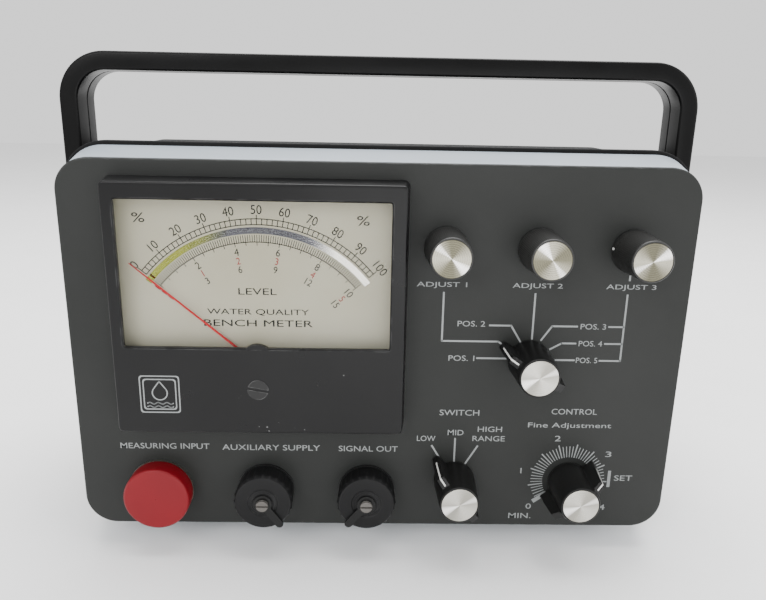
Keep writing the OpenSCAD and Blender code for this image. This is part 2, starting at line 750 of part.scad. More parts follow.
set_down() front_housing();
set_down() front_panel();
set_down() panel_studs();
set_down() case_gasket();
set_down() rear_case();
set_down() case_screws();
set_down() rubber_feet();
set_down() foot_screws();
set_down() pivot_bushes();
set_down() pivot_screws();
set_down() friction_washers();
set_down() carry_handle();
set_down() meter_cover();
set_down() meter_window();
set_down() meter_base();
set_down() meter_dial();
set_down() dial_mirror();
set_down() meter_studs();
set_down() meter_magnet();
set_down() coil_bridge();
set_down() meter_coil();
set_down() meter_pointer();
set_down() zero_adjust_screw();
set_down() circuit_board();
set_down() board_components();
set_down() board_screws();
set_down() battery_holder();
set_down() battery_cells();
set_down() probe_receptacle();
set_down() charger_receptacle();
set_down() recorder_receptacle();
set_down() receptacle_nuts();
set_down() potentiometers();
set_down() rotary_switches();
set_down() control_nuts();
set_down() red_line_knob();
set_down() red_line_disc();
set_down() red_line_shaft();
set_down() zero_knob();
set_down() zero_disc();
set_down() zero_shaft();
set_down() calibrate_knob();
set_down() calibrate_disc();
set_down() calibrate_shaft();
set_down() selector_knob();
set_down() selector_disc();
set_down() selector_shaft();
set_down() stirrer_knob();
set_down() stirrer_disc();
set_down() stirrer_shaft();
set_down() salinity_knob();
set_down() salinity_disc();
set_down() salinity_shaft();
set_down() probe_cap();
set_down() charger_cap();
set_down() charger_cap_screw();
set_down() charger_cap_lug();
set_down() recorder_cap();
set_down() recorder_cap_screw();
set_down() recorder_cap_lug();
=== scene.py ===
"""Bench meter of a water quality probe: its visible pieces and finishes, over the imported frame."""
import json
import logging
import math
import random
from collections.abc import Callable, Iterable, Mapping, Sequence
from dataclasses import dataclass, field

import bmesh
import bpy
from mathutils import Matrix, Vector


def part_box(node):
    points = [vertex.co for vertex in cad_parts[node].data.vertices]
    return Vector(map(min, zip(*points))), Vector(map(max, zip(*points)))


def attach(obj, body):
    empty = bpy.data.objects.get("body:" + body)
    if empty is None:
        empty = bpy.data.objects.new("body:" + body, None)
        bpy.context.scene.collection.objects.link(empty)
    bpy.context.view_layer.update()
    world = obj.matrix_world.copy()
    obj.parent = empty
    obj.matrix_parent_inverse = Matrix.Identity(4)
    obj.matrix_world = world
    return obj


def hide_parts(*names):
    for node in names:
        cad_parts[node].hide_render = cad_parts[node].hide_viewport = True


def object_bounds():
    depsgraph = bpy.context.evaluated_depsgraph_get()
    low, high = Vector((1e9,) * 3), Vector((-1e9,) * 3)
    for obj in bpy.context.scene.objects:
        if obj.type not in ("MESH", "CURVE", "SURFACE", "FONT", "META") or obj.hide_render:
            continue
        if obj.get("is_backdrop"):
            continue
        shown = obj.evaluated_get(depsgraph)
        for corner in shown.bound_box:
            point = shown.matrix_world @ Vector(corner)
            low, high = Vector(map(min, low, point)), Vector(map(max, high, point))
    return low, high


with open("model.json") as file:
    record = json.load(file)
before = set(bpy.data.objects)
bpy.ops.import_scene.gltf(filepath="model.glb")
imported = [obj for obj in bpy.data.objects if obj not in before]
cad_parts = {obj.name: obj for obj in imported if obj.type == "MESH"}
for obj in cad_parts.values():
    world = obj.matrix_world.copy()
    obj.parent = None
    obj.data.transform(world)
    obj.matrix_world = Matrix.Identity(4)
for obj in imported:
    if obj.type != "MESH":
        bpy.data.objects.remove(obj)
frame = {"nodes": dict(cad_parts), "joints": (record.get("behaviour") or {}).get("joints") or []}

LOG = logging.getLogger("meter")
MM = 0.001
ROOT = "instrument"
Colour = tuple[float, float, float]
Point2 = tuple[float, float]


# ---------------------------------------------------------------- places


@dataclass(frozen=True)
class Face:
    """The panel's front face, which every piece is placed from.

    Attributes:
        origin: Middle of the face in the row frame, in metres.
    """

    origin: Vector

    @classmethod
    def of_panel(cls) -> "Face":
        """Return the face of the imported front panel."""
        low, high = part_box("front_panel")
        return cls(Vector(((low.x + high.x) / 2, low.y, (low.z + high.z) / 2)))

    def point(self, across: float, up: float, out: float = 0.0) -> Vector:
        """Turn millimetres on the face into a place in the row frame.

        Args:
            across: Distance to the right of the middle.
            up: Distance above the middle.
            out: Distance out of the panel, towards the reader.

        Returns:
            The place in metres.
        """
        return self.origin + Vector((across, -out, up)) * MM

    def middle(self, node: str) -> Point2:
        """Return the middle of a CAD node on the face, across and up in millimetres."""
        low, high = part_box(node)
        centre = (low + high) / 2 - self.origin
        return centre.x / MM, centre.z / MM

    def reach(self, node: str) -> Point2:
        """Return how far out of the panel a CAD node starts and ends, in millimetres."""
        low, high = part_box(node)
        return (self.origin.y - high.y) / MM, (self.origin.y - low.y) / MM

    def size(self, node: str) -> Point2:
        """Return a CAD node's width and height in millimetres."""
        low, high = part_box(node)
        return (high.x - low.x) / MM, (high.z - low.z) / MM


# ---------------------------------------------------------------- outlines


def rounded_rect(width: float, height: float, radius: float, steps: int = 8) -> list[Point2]:
    """Return the outline of a rectangle with round corners, anticlockwise from the right.

    Args:
        width: Full width.
        height: Full height.
        radius: Corner radius.
        steps: Segments in each corner.

    Returns:
        Points of the outline, always four corners of steps + 1 points.
    """
    points = []
    for corner, (sx, sz) in enumerate(((1, -1), (1, 1), (-1, 1), (-1, -1))):
        for i in range(steps + 1):
            a = math.radians(-90 + 90 * corner + 90 * i / steps)
            points.append((sx * (width / 2 - radius) + radius * math.cos(a),
                           sz * (height / 2 - radius) + radius * math.sin(a)))
    return points


def filleted(corners: Sequence[tuple[float, float, float]], steps: int = 4) -> list[Point2]:
    """Round the corners of an open profile.

    Args:
        corners: Points as x, y and the radius that rounds them.
        steps: Segments in each rounded corner.

    Returns:
        The profile's points, with arcs in place of the rounded corners.
    """
    out: list[Point2] = []
    for i, (x, y, radius) in enumerate(corners):
        if radius <= 0 or i in (0, len(corners) - 1):
            out.append((x, y))
            continue
        here = Vector((x, y))
        before = (Vector(corners[i - 1][:2]) - here).normalized()
        after = (Vector(corners[i + 1][:2]) - here).normalized()
        half = before.angle(after) / 2
        centre = here + (before + after).normalized() * (radius / math.sin(half))
        start = here + before * (radius / math.tan(half)) - centre
        end = here + after * (radius / math.tan(half)) - centre
        turn = start.angle_signed(end)
        for k in range(steps + 1):
            p = centre + Matrix.Rotation(-turn * k / steps, 2) @ start
            out.append((p.x, p.y))
    return out


# ---------------------------------------------------------------- meshes


class Shape:
    """A mesh in the making, in the row frame and in metres."""

    def __init__(self) -> None:
        """Start with no points and no faces."""
        self.points: list[Vector] = []
        self.faces: list[tuple[int, ...]] = []

    def ring(self, points: Iterable[Vector]) -> list[int]:
        """Add points and return their numbers."""
        start = len(self.points)
        self.points += [Vector(p) for p in points]
        return list(range(start, len(self.points)))

    def loft(self, rings: Sequence[Sequence[Vector]], looped: bool = False) -> "Shape":
        """Join rings of equal length into a tube.

        Args:
            rings: Rings of points, in order.
            looped: Whether the last ring is joined back to the first, with no end faces.

        Returns:
            This shape.
        """
        ids = [self.ring(r) for r in rings]
        pairs = list(zip(ids, ids[1:])) + ([(ids[-1], ids[0])] if looped else [])
        for a, b in pairs:
            n = len(a)
            self.faces += [(a[i], a[(i + 1) % n], b[(i + 1) % n], b[i]) for i in range(n)]
        if not looped:
            self.faces += [tuple(ids[0][::-1]), tuple(ids[-1])]
        return self

    def lathe(self, face: Face, axis: Point2, profile: Sequence[Point2], count: int = 96,
              looped: bool = False,
              ripple: Callable[[float, float, float], float] | None = None) -> "Shape":
        """Turn a profile round an axis that stands out of the panel.

        Args:
            face: The panel's face.
            axis: The axis, across and up in millimetres.
            profile: Points as radius and distance out, in millimetres.
            count: Segments round the axis.
            looped: Whether the profile closes on itself, as a ring's does.
            ripple: Radius from radius, distance out and angle, for ribs and fins.

        Returns:
            This shape.
        """
        rings = []
        for radius, out in profile:
            ring = []
            for i in range(count):
                a = 2 * math.pi * i / count
                r = ripple(radius, out, a) if ripple else radius
                ring.append(face.point(axis[0] + r * math.cos(a), axis[1] + r * math.sin(a), out))
            rings.append(ring)
        return self.loft(rings, looped=looped)

    def frames(self, face: Face, centre: Point2, stages: Sequence[tuple[float, float, float, float]],
               looped: bool = False, steps: int = 8) -> "Shape":
        """Loft rounded rectangles that lie flat to the panel.

        Args:
            face: The panel's face.
            centre: Middle of the rectangles, across and up in millimetres.
            stages: Width, height, corner radius and distance out of each rectangle.
            looped: Whether the stages close on themselves, as a frame's do.
            steps: Segments in each corner.

        Returns:
            This shape.
        """
        rings = [[face.point(centre[0] + x, centre[1] + z, out) for x, z in rounded_rect(w, h, r, steps)]
                 for w, h, r, out in stages]
        return self.loft(rings, looped=looped)

    def prism(self, face: Face, outline: Sequence[Point2], low: float, high: float) -> "Shape":
        """Raise an outline on the face, from one distance out to another, in millimetres."""
        return self.loft([[face.point(x, z, out) for x, z in outline] for out in (low, high)])

    def slotted(self, face: Face, centre: Point2, radius: float, slot: float, span: Point2,
                turn: float = 0.0,
                steps: int = 24) -> "Shape":
        """Raise a screw's head as two half discs with its slot between them.

        Args:
            face: The panel's face.
            centre: The screw's axis, across and up in millimetres.
            radius: Radius of the head.
            slot: Half the width of the slot.
            span: Distances out where the half discs start and end.
            turn: Turn of the slot in radians, anticlockwise from level.
            steps: Segments round each half disc.

        Returns:
            This shape.
        """
        start = math.asin(slot / radius)
        for side in (turn, turn + math.pi):
            angles = [side + start + (math.pi - 2 * start) * i / steps for i in range(steps + 1)]
            half = [(centre[0] + radius * math.cos(a), centre[1] + radius * math.sin(a)) for a in angles]
            self.prism(face, half, *span)
        return self

    def stroke(self, face: Face, path: Sequence[Point2], width: float, low: float, high: float) -> "Shape":
        """Draw a line of ink along a path on the face.

        Args:
            face: The panel's face.
            path: Points of the line, across and up in millimetres.
            width: Width of the line.
            low: Distance out where the ink starts.
            high: Distance out of its top.

        Returns:
            This shape.
        """
        for a, b in zip(path, path[1:]):
            along = (Vector(b) - Vector(a)).normalized() * (width / 2)
            side = Vector((-along.y, along.x))
            start, end = Vector(a) - along * 0.5, Vector(b) + along * 0.5
            corners = [start + side, start - side, end - side, end + side]
            self.prism(face, [(p.x, p.y) for p in corners], low, high)
        return self

    def take(self, mesh: bpy.types.Mesh) -> "Shape":
        """Add another mesh's faces."""
        start = len(self.points)
        self.points += [v.co.copy() for v in mesh.vertices]
        self.faces += [tuple(start + i for i in p.vertices) for p in mesh.polygons]
        return self

    def mesh(self, name: str, sharp: float = 32.0) -> bpy.types.Mesh:
        """Make the Blender mesh, smooth but for its sharp edges.

        Args:
            name: The mesh's name.
            sharp: Angle in degrees above which an edge stays sharp.

        Returns:
            The mesh.
        """
        made = bpy.data.meshes.new(name)
        made.from_pydata(self.points, [], self.faces)
        work = bmesh.new()
        work.from_mesh(made)
        bmesh.ops.recalc_face_normals(work, faces=work.faces)
        limit = math.radians(sharp)
        for edge in work.edges:
            edge.smooth = len(edge.link_faces) == 2 and edge.calc_face_angle(math.pi) < limit
        for f in work.faces:
            f.smooth = True
        work.to_mesh(made)
        work.free()
        return made


# ---------------------------------------------------------------- shader graphs


class Socket:
    """A node's output, with arithmetic that adds Math nodes."""

    def __init__(self, graph: "Graph", link: bpy.types.NodeSocket) -> None:
        """Wrap an output socket of a graph."""
        self.graph = graph
        self.link = link

    def _math(self, operation: str, a: "Value", b: "Value") -> "Socket":
        """Return a Math node's result."""
        return self.graph.node("ShaderNodeMath", {"operation": operation}, {0: a, 1: b})

    def __add__(self, other: "Value") -> "Socket":
        """Return the sum."""
        return self._math("ADD", self, other)

    def __radd__(self, other: "Value") -> "Socket":
        """Return the sum, from the right."""
        return self._math("ADD", other, self)

    def __sub__(self, other: "Value") -> "Socket":
        """Return the difference."""
        return self._math("SUBTRACT", self, other)

    def __rsub__(self, other: "Value") -> "Socket":
        """Return the difference, from the right."""
        return self._math("SUBTRACT", other, self)

    def __mul__(self, other: "Value") -> "Socket":
        """Return the product."""
        return self._math("MULTIPLY", self, other)

    def __rmul__(self, other: "Value") -> "Socket":
        """Return the product, from the right."""
        return self._math("MULTIPLY", other, self)

    def __gt__(self, other: "Value") -> "Socket":
        """Return one where this is the greater, else nought."""
        return self._math("GREATER_THAN", self, other)


Value = Socket | float | Sequence[float]


class Graph:
    """A material's node tree."""

    def __init__(self, material: bpy.types.Material) -> None:
        """Start an empty tree on a material."""
        material.use_nodes = True
        self.tree = material.node_tree
        self.tree.nodes.clear()

    def node(self, kind: str, settings: Mapping[str, object] | None = None,
             sockets: Mapping[str | int, "Value"] | None = None, output: str | int = 0) -> Socket:
        """Add a node.

        Args:
            kind: The node's type.
            settings: Properties, set first; "stops" gives a colour ramp's places and colours.
            sockets: Values or links of its inputs, by name or number.
            output: The output to return.

        Returns:
            The chosen output.
        """
        made = self.tree.nodes.new(kind)
        for key, value in (settings or {}).items():
            if key == "stops":
                self._stops(made.color_ramp, value)
            else:
                setattr(made, key, value)
        for key, value in (sockets or {}).items():
            if isinstance(value, Socket):
                self.tree.links.new(value.link, made.inputs[key])
            else:
                made.inputs[key].default_value = value
        return Socket(self, made.outputs[output]) if len(made.outputs) else Socket(self, None)

    @staticmethod
    def _stops(ramp: bpy.types.ColorRamp, stops: Sequence[tuple[float, float]]) -> None:
        """Set a ramp's grey stops."""
        while len(ramp.elements) > 1:
            ramp.elements.remove(ramp.elements[-1])
        for i, (place, grey) in enumerate(stops):
            element = ramp.elements[0] if i == 0 else ramp.elements.new(place)
            element.position = place
            element.color = (grey, grey, grey, 1)

    def coords(self) -> Socket:
        """Return places on the piece, in metres."""
        return self.node("ShaderNodeTexCoord", output="Object")

    def noise(self, scale: float, detail: float = 4.0) -> Socket:
        """Return a noise from nought to one; its scale is in features a metre."""
        return self.node("ShaderNodeTexNoise", None,
                         {"Vector": self.coords(), "Scale": scale, "Detail": detail,
                                                      "Roughness": 0.55})

    def ramp(self, value: Socket, stops: Sequence[tuple[float, float]]) -> Socket:
        """Return a value shaped by grey stops."""
        return self.node("ShaderNodeValToRGB", {"stops": stops}, {0: value})

    def mix(self, share: "Value", first: "Value", second: "Value") -> Socket:
        """Return a blend of two colours."""
        return self.node("ShaderNodeMix", {"data_type": "RGBA"}, {0: share, 6: first, 7: second}, output=2)

    def bump(self, height: Socket, depth: float, strength: float = 1.0) -> Socket:
        """Return normals from a height, with its depth in metres."""
        return self.node("ShaderNodeBump", None,
                         {"Height": height, "Distance": depth, "Strength": strength})

    def surface(self, sockets: Mapping[str | int, "Value"]) -> None:
        """End the tree in a Principled shader with these sockets."""
        shader = self.node("ShaderNodeBsdfPrincipled", None, sockets)
        self.node("ShaderNodeOutputMaterial", None, {"Surface": shader})


def rgba(colour: Colour) -> tuple[float, float, float, float]:
    """Return a colour with full alpha."""
    return (*colour, 1.0)


# ---------------------------------------------------------------- finishes


@dataclass(frozen=True)
class Finish:
    """A named finish; each kind draws its own nodes."""

    name: str

    def draw(self, graph: Graph) -> None:
        """Draw the finish's nodes."""
        raise NotImplementedError

    def material(self) -> bpy.types.Material:
        """Return the finish's material, made once."""
        found = bpy.data.materials.get(self.name)
        if found is None:
            found = bpy.data.materials.new(self.name)
            self.draw(Graph(found))
        return found


@dataclass(frozen=True)
class Coating(Finish):
    """Paint, plastic, rubber or metal with blotches, grain and worn edges.

    Attributes:
        colour: Main colour.
        shade: Colour of the blotches and grime.
        rough: Mean roughness.
        rough_spread: How far roughness varies.
        metallic: Whether it is metal, from nought to one.
        grain: Grain features a metre.
        depth: Depth of the grain in metres.
        fleck: Share of small pale flecks.
        worn: Colour of worn edges.
        wear: Amount of edge wear, from nought to one.
        specular: Strength of the surface gloss.
    """

    colour: Colour
    shade: Colour
    rough: float = 0.5
    rough_spread: float = 0.15
    metallic: float = 0.0
    grain: float = 1500.0
    depth: float = 0.00002
    fleck: float = 0.0
    worn: Colour = (0.3, 0.3, 0.3)
    wear: float = 0.0
    specular: float = 0.5

    def draw(self, graph: Graph) -> None:
        """Draw blotches, flecks, edge wear, grain and uneven gloss."""
        blotch = graph.noise(18.0, 5.0)
        fine = graph.noise(self.grain, 3.0)
        base = graph.mix(graph.ramp(blotch, [(0.35, 0.0), (0.7, 1.0)]), rgba(self.colour), rgba(self.shade))
        if self.fleck:
            speck = graph.ramp(graph.noise(2600.0, 2.0), [(0.7, 0.0), (0.76, 1.0)]) * self.fleck
            base = graph.mix(speck, base, rgba(self.worn))
        if self.wear:
            soft = graph.node("ShaderNodeBevel", {"samples": 4}, {"Radius": 0.0006})
            flat = graph.node("ShaderNodeNewGeometry", output="Normal")
            bend = 1 - graph.node("ShaderNodeVectorMath", {"operation": "DOT_PRODUCT"}, {0: soft, 1: flat},
                                  "Value")
            patchy = graph.ramp(graph.noise(160.0, 4.0), [(0.45, 0.0), (0.6, 1.0)])
            base = graph.mix((bend > 0.03) * patchy * self.wear, base, rgba(self.worn))
        rough = self.rough + (graph.noise(70.0, 5.0) - 0.5) * (2 * self.rough_spread)
        graph.surface({"Base Color": base, "Roughness": rough, "Metallic": self.metallic,
                       "Specular IOR Level": self.specular, "Normal": graph.bump(fine, self.depth)})


@dataclass(frozen=True)
class TurnedMetal(Finish):
    """Aluminium turned in a lathe, with fine rings round an axis out of the panel, and painted highlight
    fans and glints in its colour.

    Attributes:
        axis: The axis in the row frame, in metres.
        colour: Painted highlight colour of the metal along its bright fans.
        shade: Painted shade of the metal between them.
        ring: Spacing of the rings in metres.
        turn: Turn of the painted highlight fans in radians.
    """

    axis: tuple[float, float, float]
    colour: Colour = (0.56, 0.54, 0.47)
    shade: Colour = (0.3, 0.29, 0.23)
    ring: float = 0.00022
    turn: float = 0.6

    def draw(self, graph: Graph) -> None:
        """Draw rings, painted highlight fans, thin painted glints and uneven polish."""
        shifted = graph.node("ShaderNodeVectorMath", {"operation": "SUBTRACT"},
                             {0: graph.coords(), 1: self.axis})
        flat = graph.node("ShaderNodeVectorMath", {"operation": "MULTIPLY"}, {0: shifted, 1: (1, 0, 1)})
        away = graph.node("ShaderNodeVectorMath", {"operation": "LENGTH"}, {0: flat}, output="Value")
        rings = graph.node("ShaderNodeMath", {"operation": "SINE"}, {0: away * (2 * math.pi / self.ring)})
        parts = [graph.node("ShaderNodeSeparateXYZ", None, {0: flat}, output=axis) for axis in ("X", "Z")]
        angle = graph.node("ShaderNodeMath", {"operation": "ARCTAN2"}, {0: parts[1], 1: parts[0]})
        # Painted highlight: bright fans and darker gaps, painted into the colour by angle round the axis.
        fan = graph.node("ShaderNodeMath", {"operation": "COSINE"}, {0: angle * 2 + self.turn})
        # Painted glints: a thin bright streak and a fainter one opposite it, mixed towards near white.
        painted_streak = graph.node("ShaderNodeMath", {"operation": "COSINE"}, {0: angle + self.turn * 1.7})
        painted_back_glint = graph.ramp(painted_streak * -1, [(0.97, 0.0), (1.0, 0.6)])
        painted_glint = graph.ramp(painted_streak, [(0.93, 0.0), (1.0, 1.0)]) + painted_back_glint
        base = graph.mix(graph.ramp(fan * 0.5 + 0.5, [(0.1, 0.0), (0.95, 1.0)]), rgba(self.shade),
                         rgba(self.colour))
        base_with_painted_glint = graph.mix(painted_glint, base, rgba((0.95, 0.93, 0.9)))
        graph.surface({"Base Color": base_with_painted_glint, "Metallic": 1.0, "Roughness": 0.2 + graph.noise(900.0) * 0.08,
                       "Normal": graph.bump(rings, 0.00001, 0.6)})


@dataclass(frozen=True)
class Pane(Finish):
    """The meter's clear window."""

    clearness: float = 0.93

    def draw(self, graph: Graph) -> None:
        """Draw a thin glossy pane with faint smears."""
        smear = graph.ramp(graph.noise(40.0, 4.0), [(0.4, 0.0), (0.8, 1.0)])
        graph.surface({"Base Color": rgba((0.03, 0.035, 0.035)), "Roughness": 0.03 + smear * 0.05,
                       "Alpha": 1 - self.clearness, "Specular IOR Level": 0.5})


@dataclass(frozen=True)
class DialCard(Finish):
    """Cream enamel of the dial, a little yellowed in broad patches."""

    colour: Colour = (0.43, 0.41, 0.315)
    aged: Colour = (0.38, 0.355, 0.245)

    def draw(self, graph: Graph) -> None:
        """Draw the enamel's tone and its faint orange peel."""
        tone = graph.ramp(graph.noise(14.0, 4.0), [(0.35, 0.0), (0.75, 1.0)])
        dust = graph.ramp(graph.noise(1800.0, 2.0), [(0.74, 0.0), (0.8, 1.0)]) * 0.25
        base = graph.mix(dust, graph.mix(tone, rgba(self.colour), rgba(self.aged)),
                         rgba((0.35, 0.33, 0.28)))
        graph.surface({"Base Color": base, "Roughness": 0.55 + graph.noise(60.0) * 0.1,
                       "Normal": graph.bump(graph.noise(900.0), 0.00001)})


CHARCOAL = Coating("charcoal_panel_paint", (0.0135, 0.0145, 0.0135), (0.018, 0.019, 0.018), 0.5, 0.08,
                   fleck=0.05,
                   grain=2200.0, depth=0.000025, worn=(0.3, 0.31, 0.31), wear=0.5, specular=0.2)
# Pale blue-grey housing colour, painted in as the bright grazing sheen of its top strip.
HOUSING_SHEEN_PAINT = Coating("housing_painted_sheen", (0.34, 0.38, 0.42), (0.29, 0.33, 0.37), 0.34, 0.08, grain=900.0,
                        worn=(0.55, 0.55, 0.54), wear=0.6)
CASE_PLASTIC = Coating("textured_case", (0.004, 0.0042, 0.0046), (0.007, 0.007, 0.0075), 0.6, 0.08,
                       grain=1300.0,
                       depth=0.00012, worn=(0.04, 0.04, 0.04), wear=0.5, specular=0.12)
HANDLE_PLASTIC = Coating("handle_plastic", (0.0022, 0.0022, 0.0022), (0.004, 0.004, 0.0042), 0.32, 0.1,
                         grain=700.0,
                         worn=(0.045, 0.045, 0.046), wear=0.7, specular=0.11)
METER_PLASTIC = Coating("meter_plastic", (0.0028, 0.0028, 0.003), (0.005, 0.005, 0.0052), 0.3, 0.08,
                        grain=1100.0,
                        worn=(0.12, 0.12, 0.12), wear=0.4, specular=0.2)
ADJUSTER_PLASTIC = Coating("adjuster_plastic", (0.006, 0.006, 0.006), (0.011, 0.011, 0.011), 0.45, 0.08,
                           grain=900.0,
                           worn=(0.1, 0.1, 0.1), wear=0.8, specular=0.3)
KNOB_PLASTIC = Coating("knob_plastic", (0.004, 0.004, 0.004), (0.008, 0.008, 0.0077), 0.38, 0.1,
                       grain=1800.0,
                       specular=0.2)
GRIP_PLASTIC = Coating("ribbed_grip", (0.01, 0.01, 0.0095), (0.018, 0.018, 0.017), 0.42, 0.1, grain=1800.0,
                       specular=0.4)
CAP_PLASTIC = Coating("cap_plastic", (0.0045, 0.0045, 0.0047), (0.0085, 0.0085, 0.0088), 0.5, 0.1,
                      grain=1600.0,
                      worn=(0.05, 0.05, 0.05), wear=0.5, specular=0.15)
RED_VINYL = Coating("red_vinyl", (0.17, 0.0016, 0.006), (0.135, 0.0013, 0.005), 0.42, 0.08, grain=700.0,
                    specular=0.25)
RUBBER = Coating("black_rubber", (0.006, 0.006, 0.006), (0.014, 0.014, 0.013), 0.8, 0.08, grain=1400.0,
                 depth=0.00005,
                 specular=0.2)
WHITE_INK = Coating("white_ink", (0.25, 0.26, 0.26), (0.19, 0.2, 0.2), 0.6, 0.05, specular=0.2)
INDEX_PAINT = Coating("index_paint", (0.6, 0.6, 0.58), (0.5, 0.5, 0.48), 0.5, 0.05)
BLACK_INK = Coating("black_ink", (0.004, 0.004, 0.004), (0.008, 0.008, 0.008), 0.6, 0.05, specular=0.1)
RED_INK = Coating("red_ink", (0.3, 0.012, 0.02), (0.24, 0.012, 0.02), 0.6, 0.05, specular=0.1)
NEEDLE_PAINT = Coating("needle_paint", (0.45, 0.008, 0.012), (0.36, 0.008, 0.012), 0.5, 0.05, specular=0.2)
STEEL = Coating("plated_steel", (0.4, 0.4, 0.38), (0.28, 0.28, 0.27), 0.32, 0.1, 1.0, 2500.0, 0.00001)
PLATED = Coating("dull_plating", (0.36, 0.35, 0.31), (0.24, 0.23, 0.2), 0.42, 0.12, 1.0, 1500.0)
DARK_SHELL = Coating("blackened_shell", (0.02, 0.02, 0.02), (0.03, 0.03, 0.03), 0.4, 0.1, 0.6, 1500.0)
SWIVEL_STEEL = Coating("tarnished_steel", (0.16, 0.15, 0.14), (0.09, 0.085, 0.08), 0.35, 0.1, 1.0, 1500.0)
SPECK = Coating("pale_speck", (0.13, 0.13, 0.13), (0.1, 0.1, 0.1), 0.6, 0.05)
BRASS = Coating("brass", (0.5, 0.34, 0.12), (0.36, 0.23, 0.08), 0.3, 0.1, 1.0, 1500.0)
COPPER = Coating("enamelled_wire", (0.42, 0.16, 0.06), (0.3, 0.12, 0.05), 0.3, 0.08, 0.8, 4000.0)
IRON = Coating("painted_iron", (0.06, 0.065, 0.07), (0.04, 0.04, 0.045), 0.5, 0.1)
LAMINATE = Coating("brown_laminate", (0.12, 0.06, 0.025), (0.09, 0.045, 0.02), 0.5, 0.1)
BOARD = Coating("board_lacquer", (0.015, 0.09, 0.03), (0.01, 0.065, 0.025), 0.3, 0.08)
CHIP = Coating("component_body", (0.015, 0.015, 0.017), (0.025, 0.022, 0.02), 0.4, 0.1)
CELL = Coating("cell_sleeve", (0.04, 0.07, 0.18), (0.03, 0.05, 0.14), 0.35, 0.08)
FLOOR = Coating("pale_floor", (0.9, 0.9, 0.9), (0.88, 0.88, 0.88), 0.8, 0.05, specular=0.1)


@dataclass(frozen=True)
class ScaleMirror(Finish):
    """Silvered strip of the dial, dulled and stained in patches."""

    bright: Colour = (0.62, 0.61, 0.55)
    dull: Colour = (0.10, 0.10, 0.11)
    stain: Colour = (0.26, 0.27, 0.05)
    left: float = -0.1
    length: float = 0.1

    def draw(self, graph: Graph) -> None:
        """Draw dull silvering, stained towards the left and clean towards the right."""
        across = graph.node("ShaderNodeSeparateXYZ", None, {0: graph.coords()}, output="X")
        share = (across - self.left) * (1 / self.length) + (graph.noise(30.0, 2.0) - 0.5) * 0.35
        stained = graph.ramp(share, [(0.2, 1.0), (0.36, 0.0)])
        clean = graph.ramp(share, [(0.68, 0.0), (0.8, 1.0)])
        base = graph.mix(clean, graph.mix(stained, rgba(self.dull), rgba(self.stain)), rgba(self.bright))
        graph.surface({"Base Color": base, "Metallic": 1.0, "Roughness": 0.05 + graph.noise(120.0) * 0.08})


CAD_FINISHES: dict[str, Finish] = {
    "panel_studs": STEEL, "case_gasket": RUBBER, "case_screws": STEEL, "foot_screws": STEEL,
    "pivot_bushes": BRASS,
    "pivot_screws": STEEL, "friction_washers": RUBBER, "meter_window": Pane("clear_window"),
    "meter_base": METER_PLASTIC, "meter_dial": DialCard("dial_enamel"),
    "dial_mirror": ScaleMirror("scale_mirror"), "meter_studs": BRASS,
    "meter_magnet": IRON, "coil_bridge": STEEL, "meter_coil": COPPER, "circuit_board": BOARD,
    "board_components": CHIP, "board_screws": STEEL, "battery_holder": METER_PLASTIC, "battery_cells": CELL,
    "probe_receptacle": PLATED, "charger_receptacle": DARK_SHELL, "recorder_receptacle": DARK_SHELL,
    "receptacle_nuts": PLATED, "potentiometers": STEEL, "rotary_switches": LAMINATE, "control_nuts": STEEL,
}


# ---------------------------------------------------------------- pieces


def add_piece(name: str, shape: Shape, body: str, finish: Finish, stands_for: Sequence[str] = (),
              sharp: float = 32.0) -> bpy.types.Object:
    """Make a visible piece, dress it and hang it on its body.

    Args:
        name: The piece's name.
        shape: Its mesh in the making.
        body: The body that it moves with.
        finish: Its finish.
        stands_for: CAD nodes that it is shown in place of.
        sharp: Angle in degrees above which an edge stays sharp.

    Returns:
        The object.
    """
    piece = bpy.data.objects.new(name, shape.mesh(name, sharp))
    bpy.context.scene.collection.objects.link(piece)
    piece.data.materials.append(finish.material())
    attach(piece, body)
    if stands_for:
        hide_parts(*stands_for)
    LOG.info("%s: %d faces on %s", name, len(piece.data.polygons), body)
    return piece


@dataclass(frozen=True)
class Word:
    """A printed word or number.

    Attributes:
        text: What it says.
        across: Its place across the face in millimetres.
        up: Height of its middle in millimetres.
        width: Its printed width, or nought to keep the letters' own.
        height: Height of its capitals.
        turn: Turn in degrees, anticlockwise.
    """

    text: str
    across: float
    up: float
    width: float = 0.0
    height: float = 2.6
    turn: float = 0.0


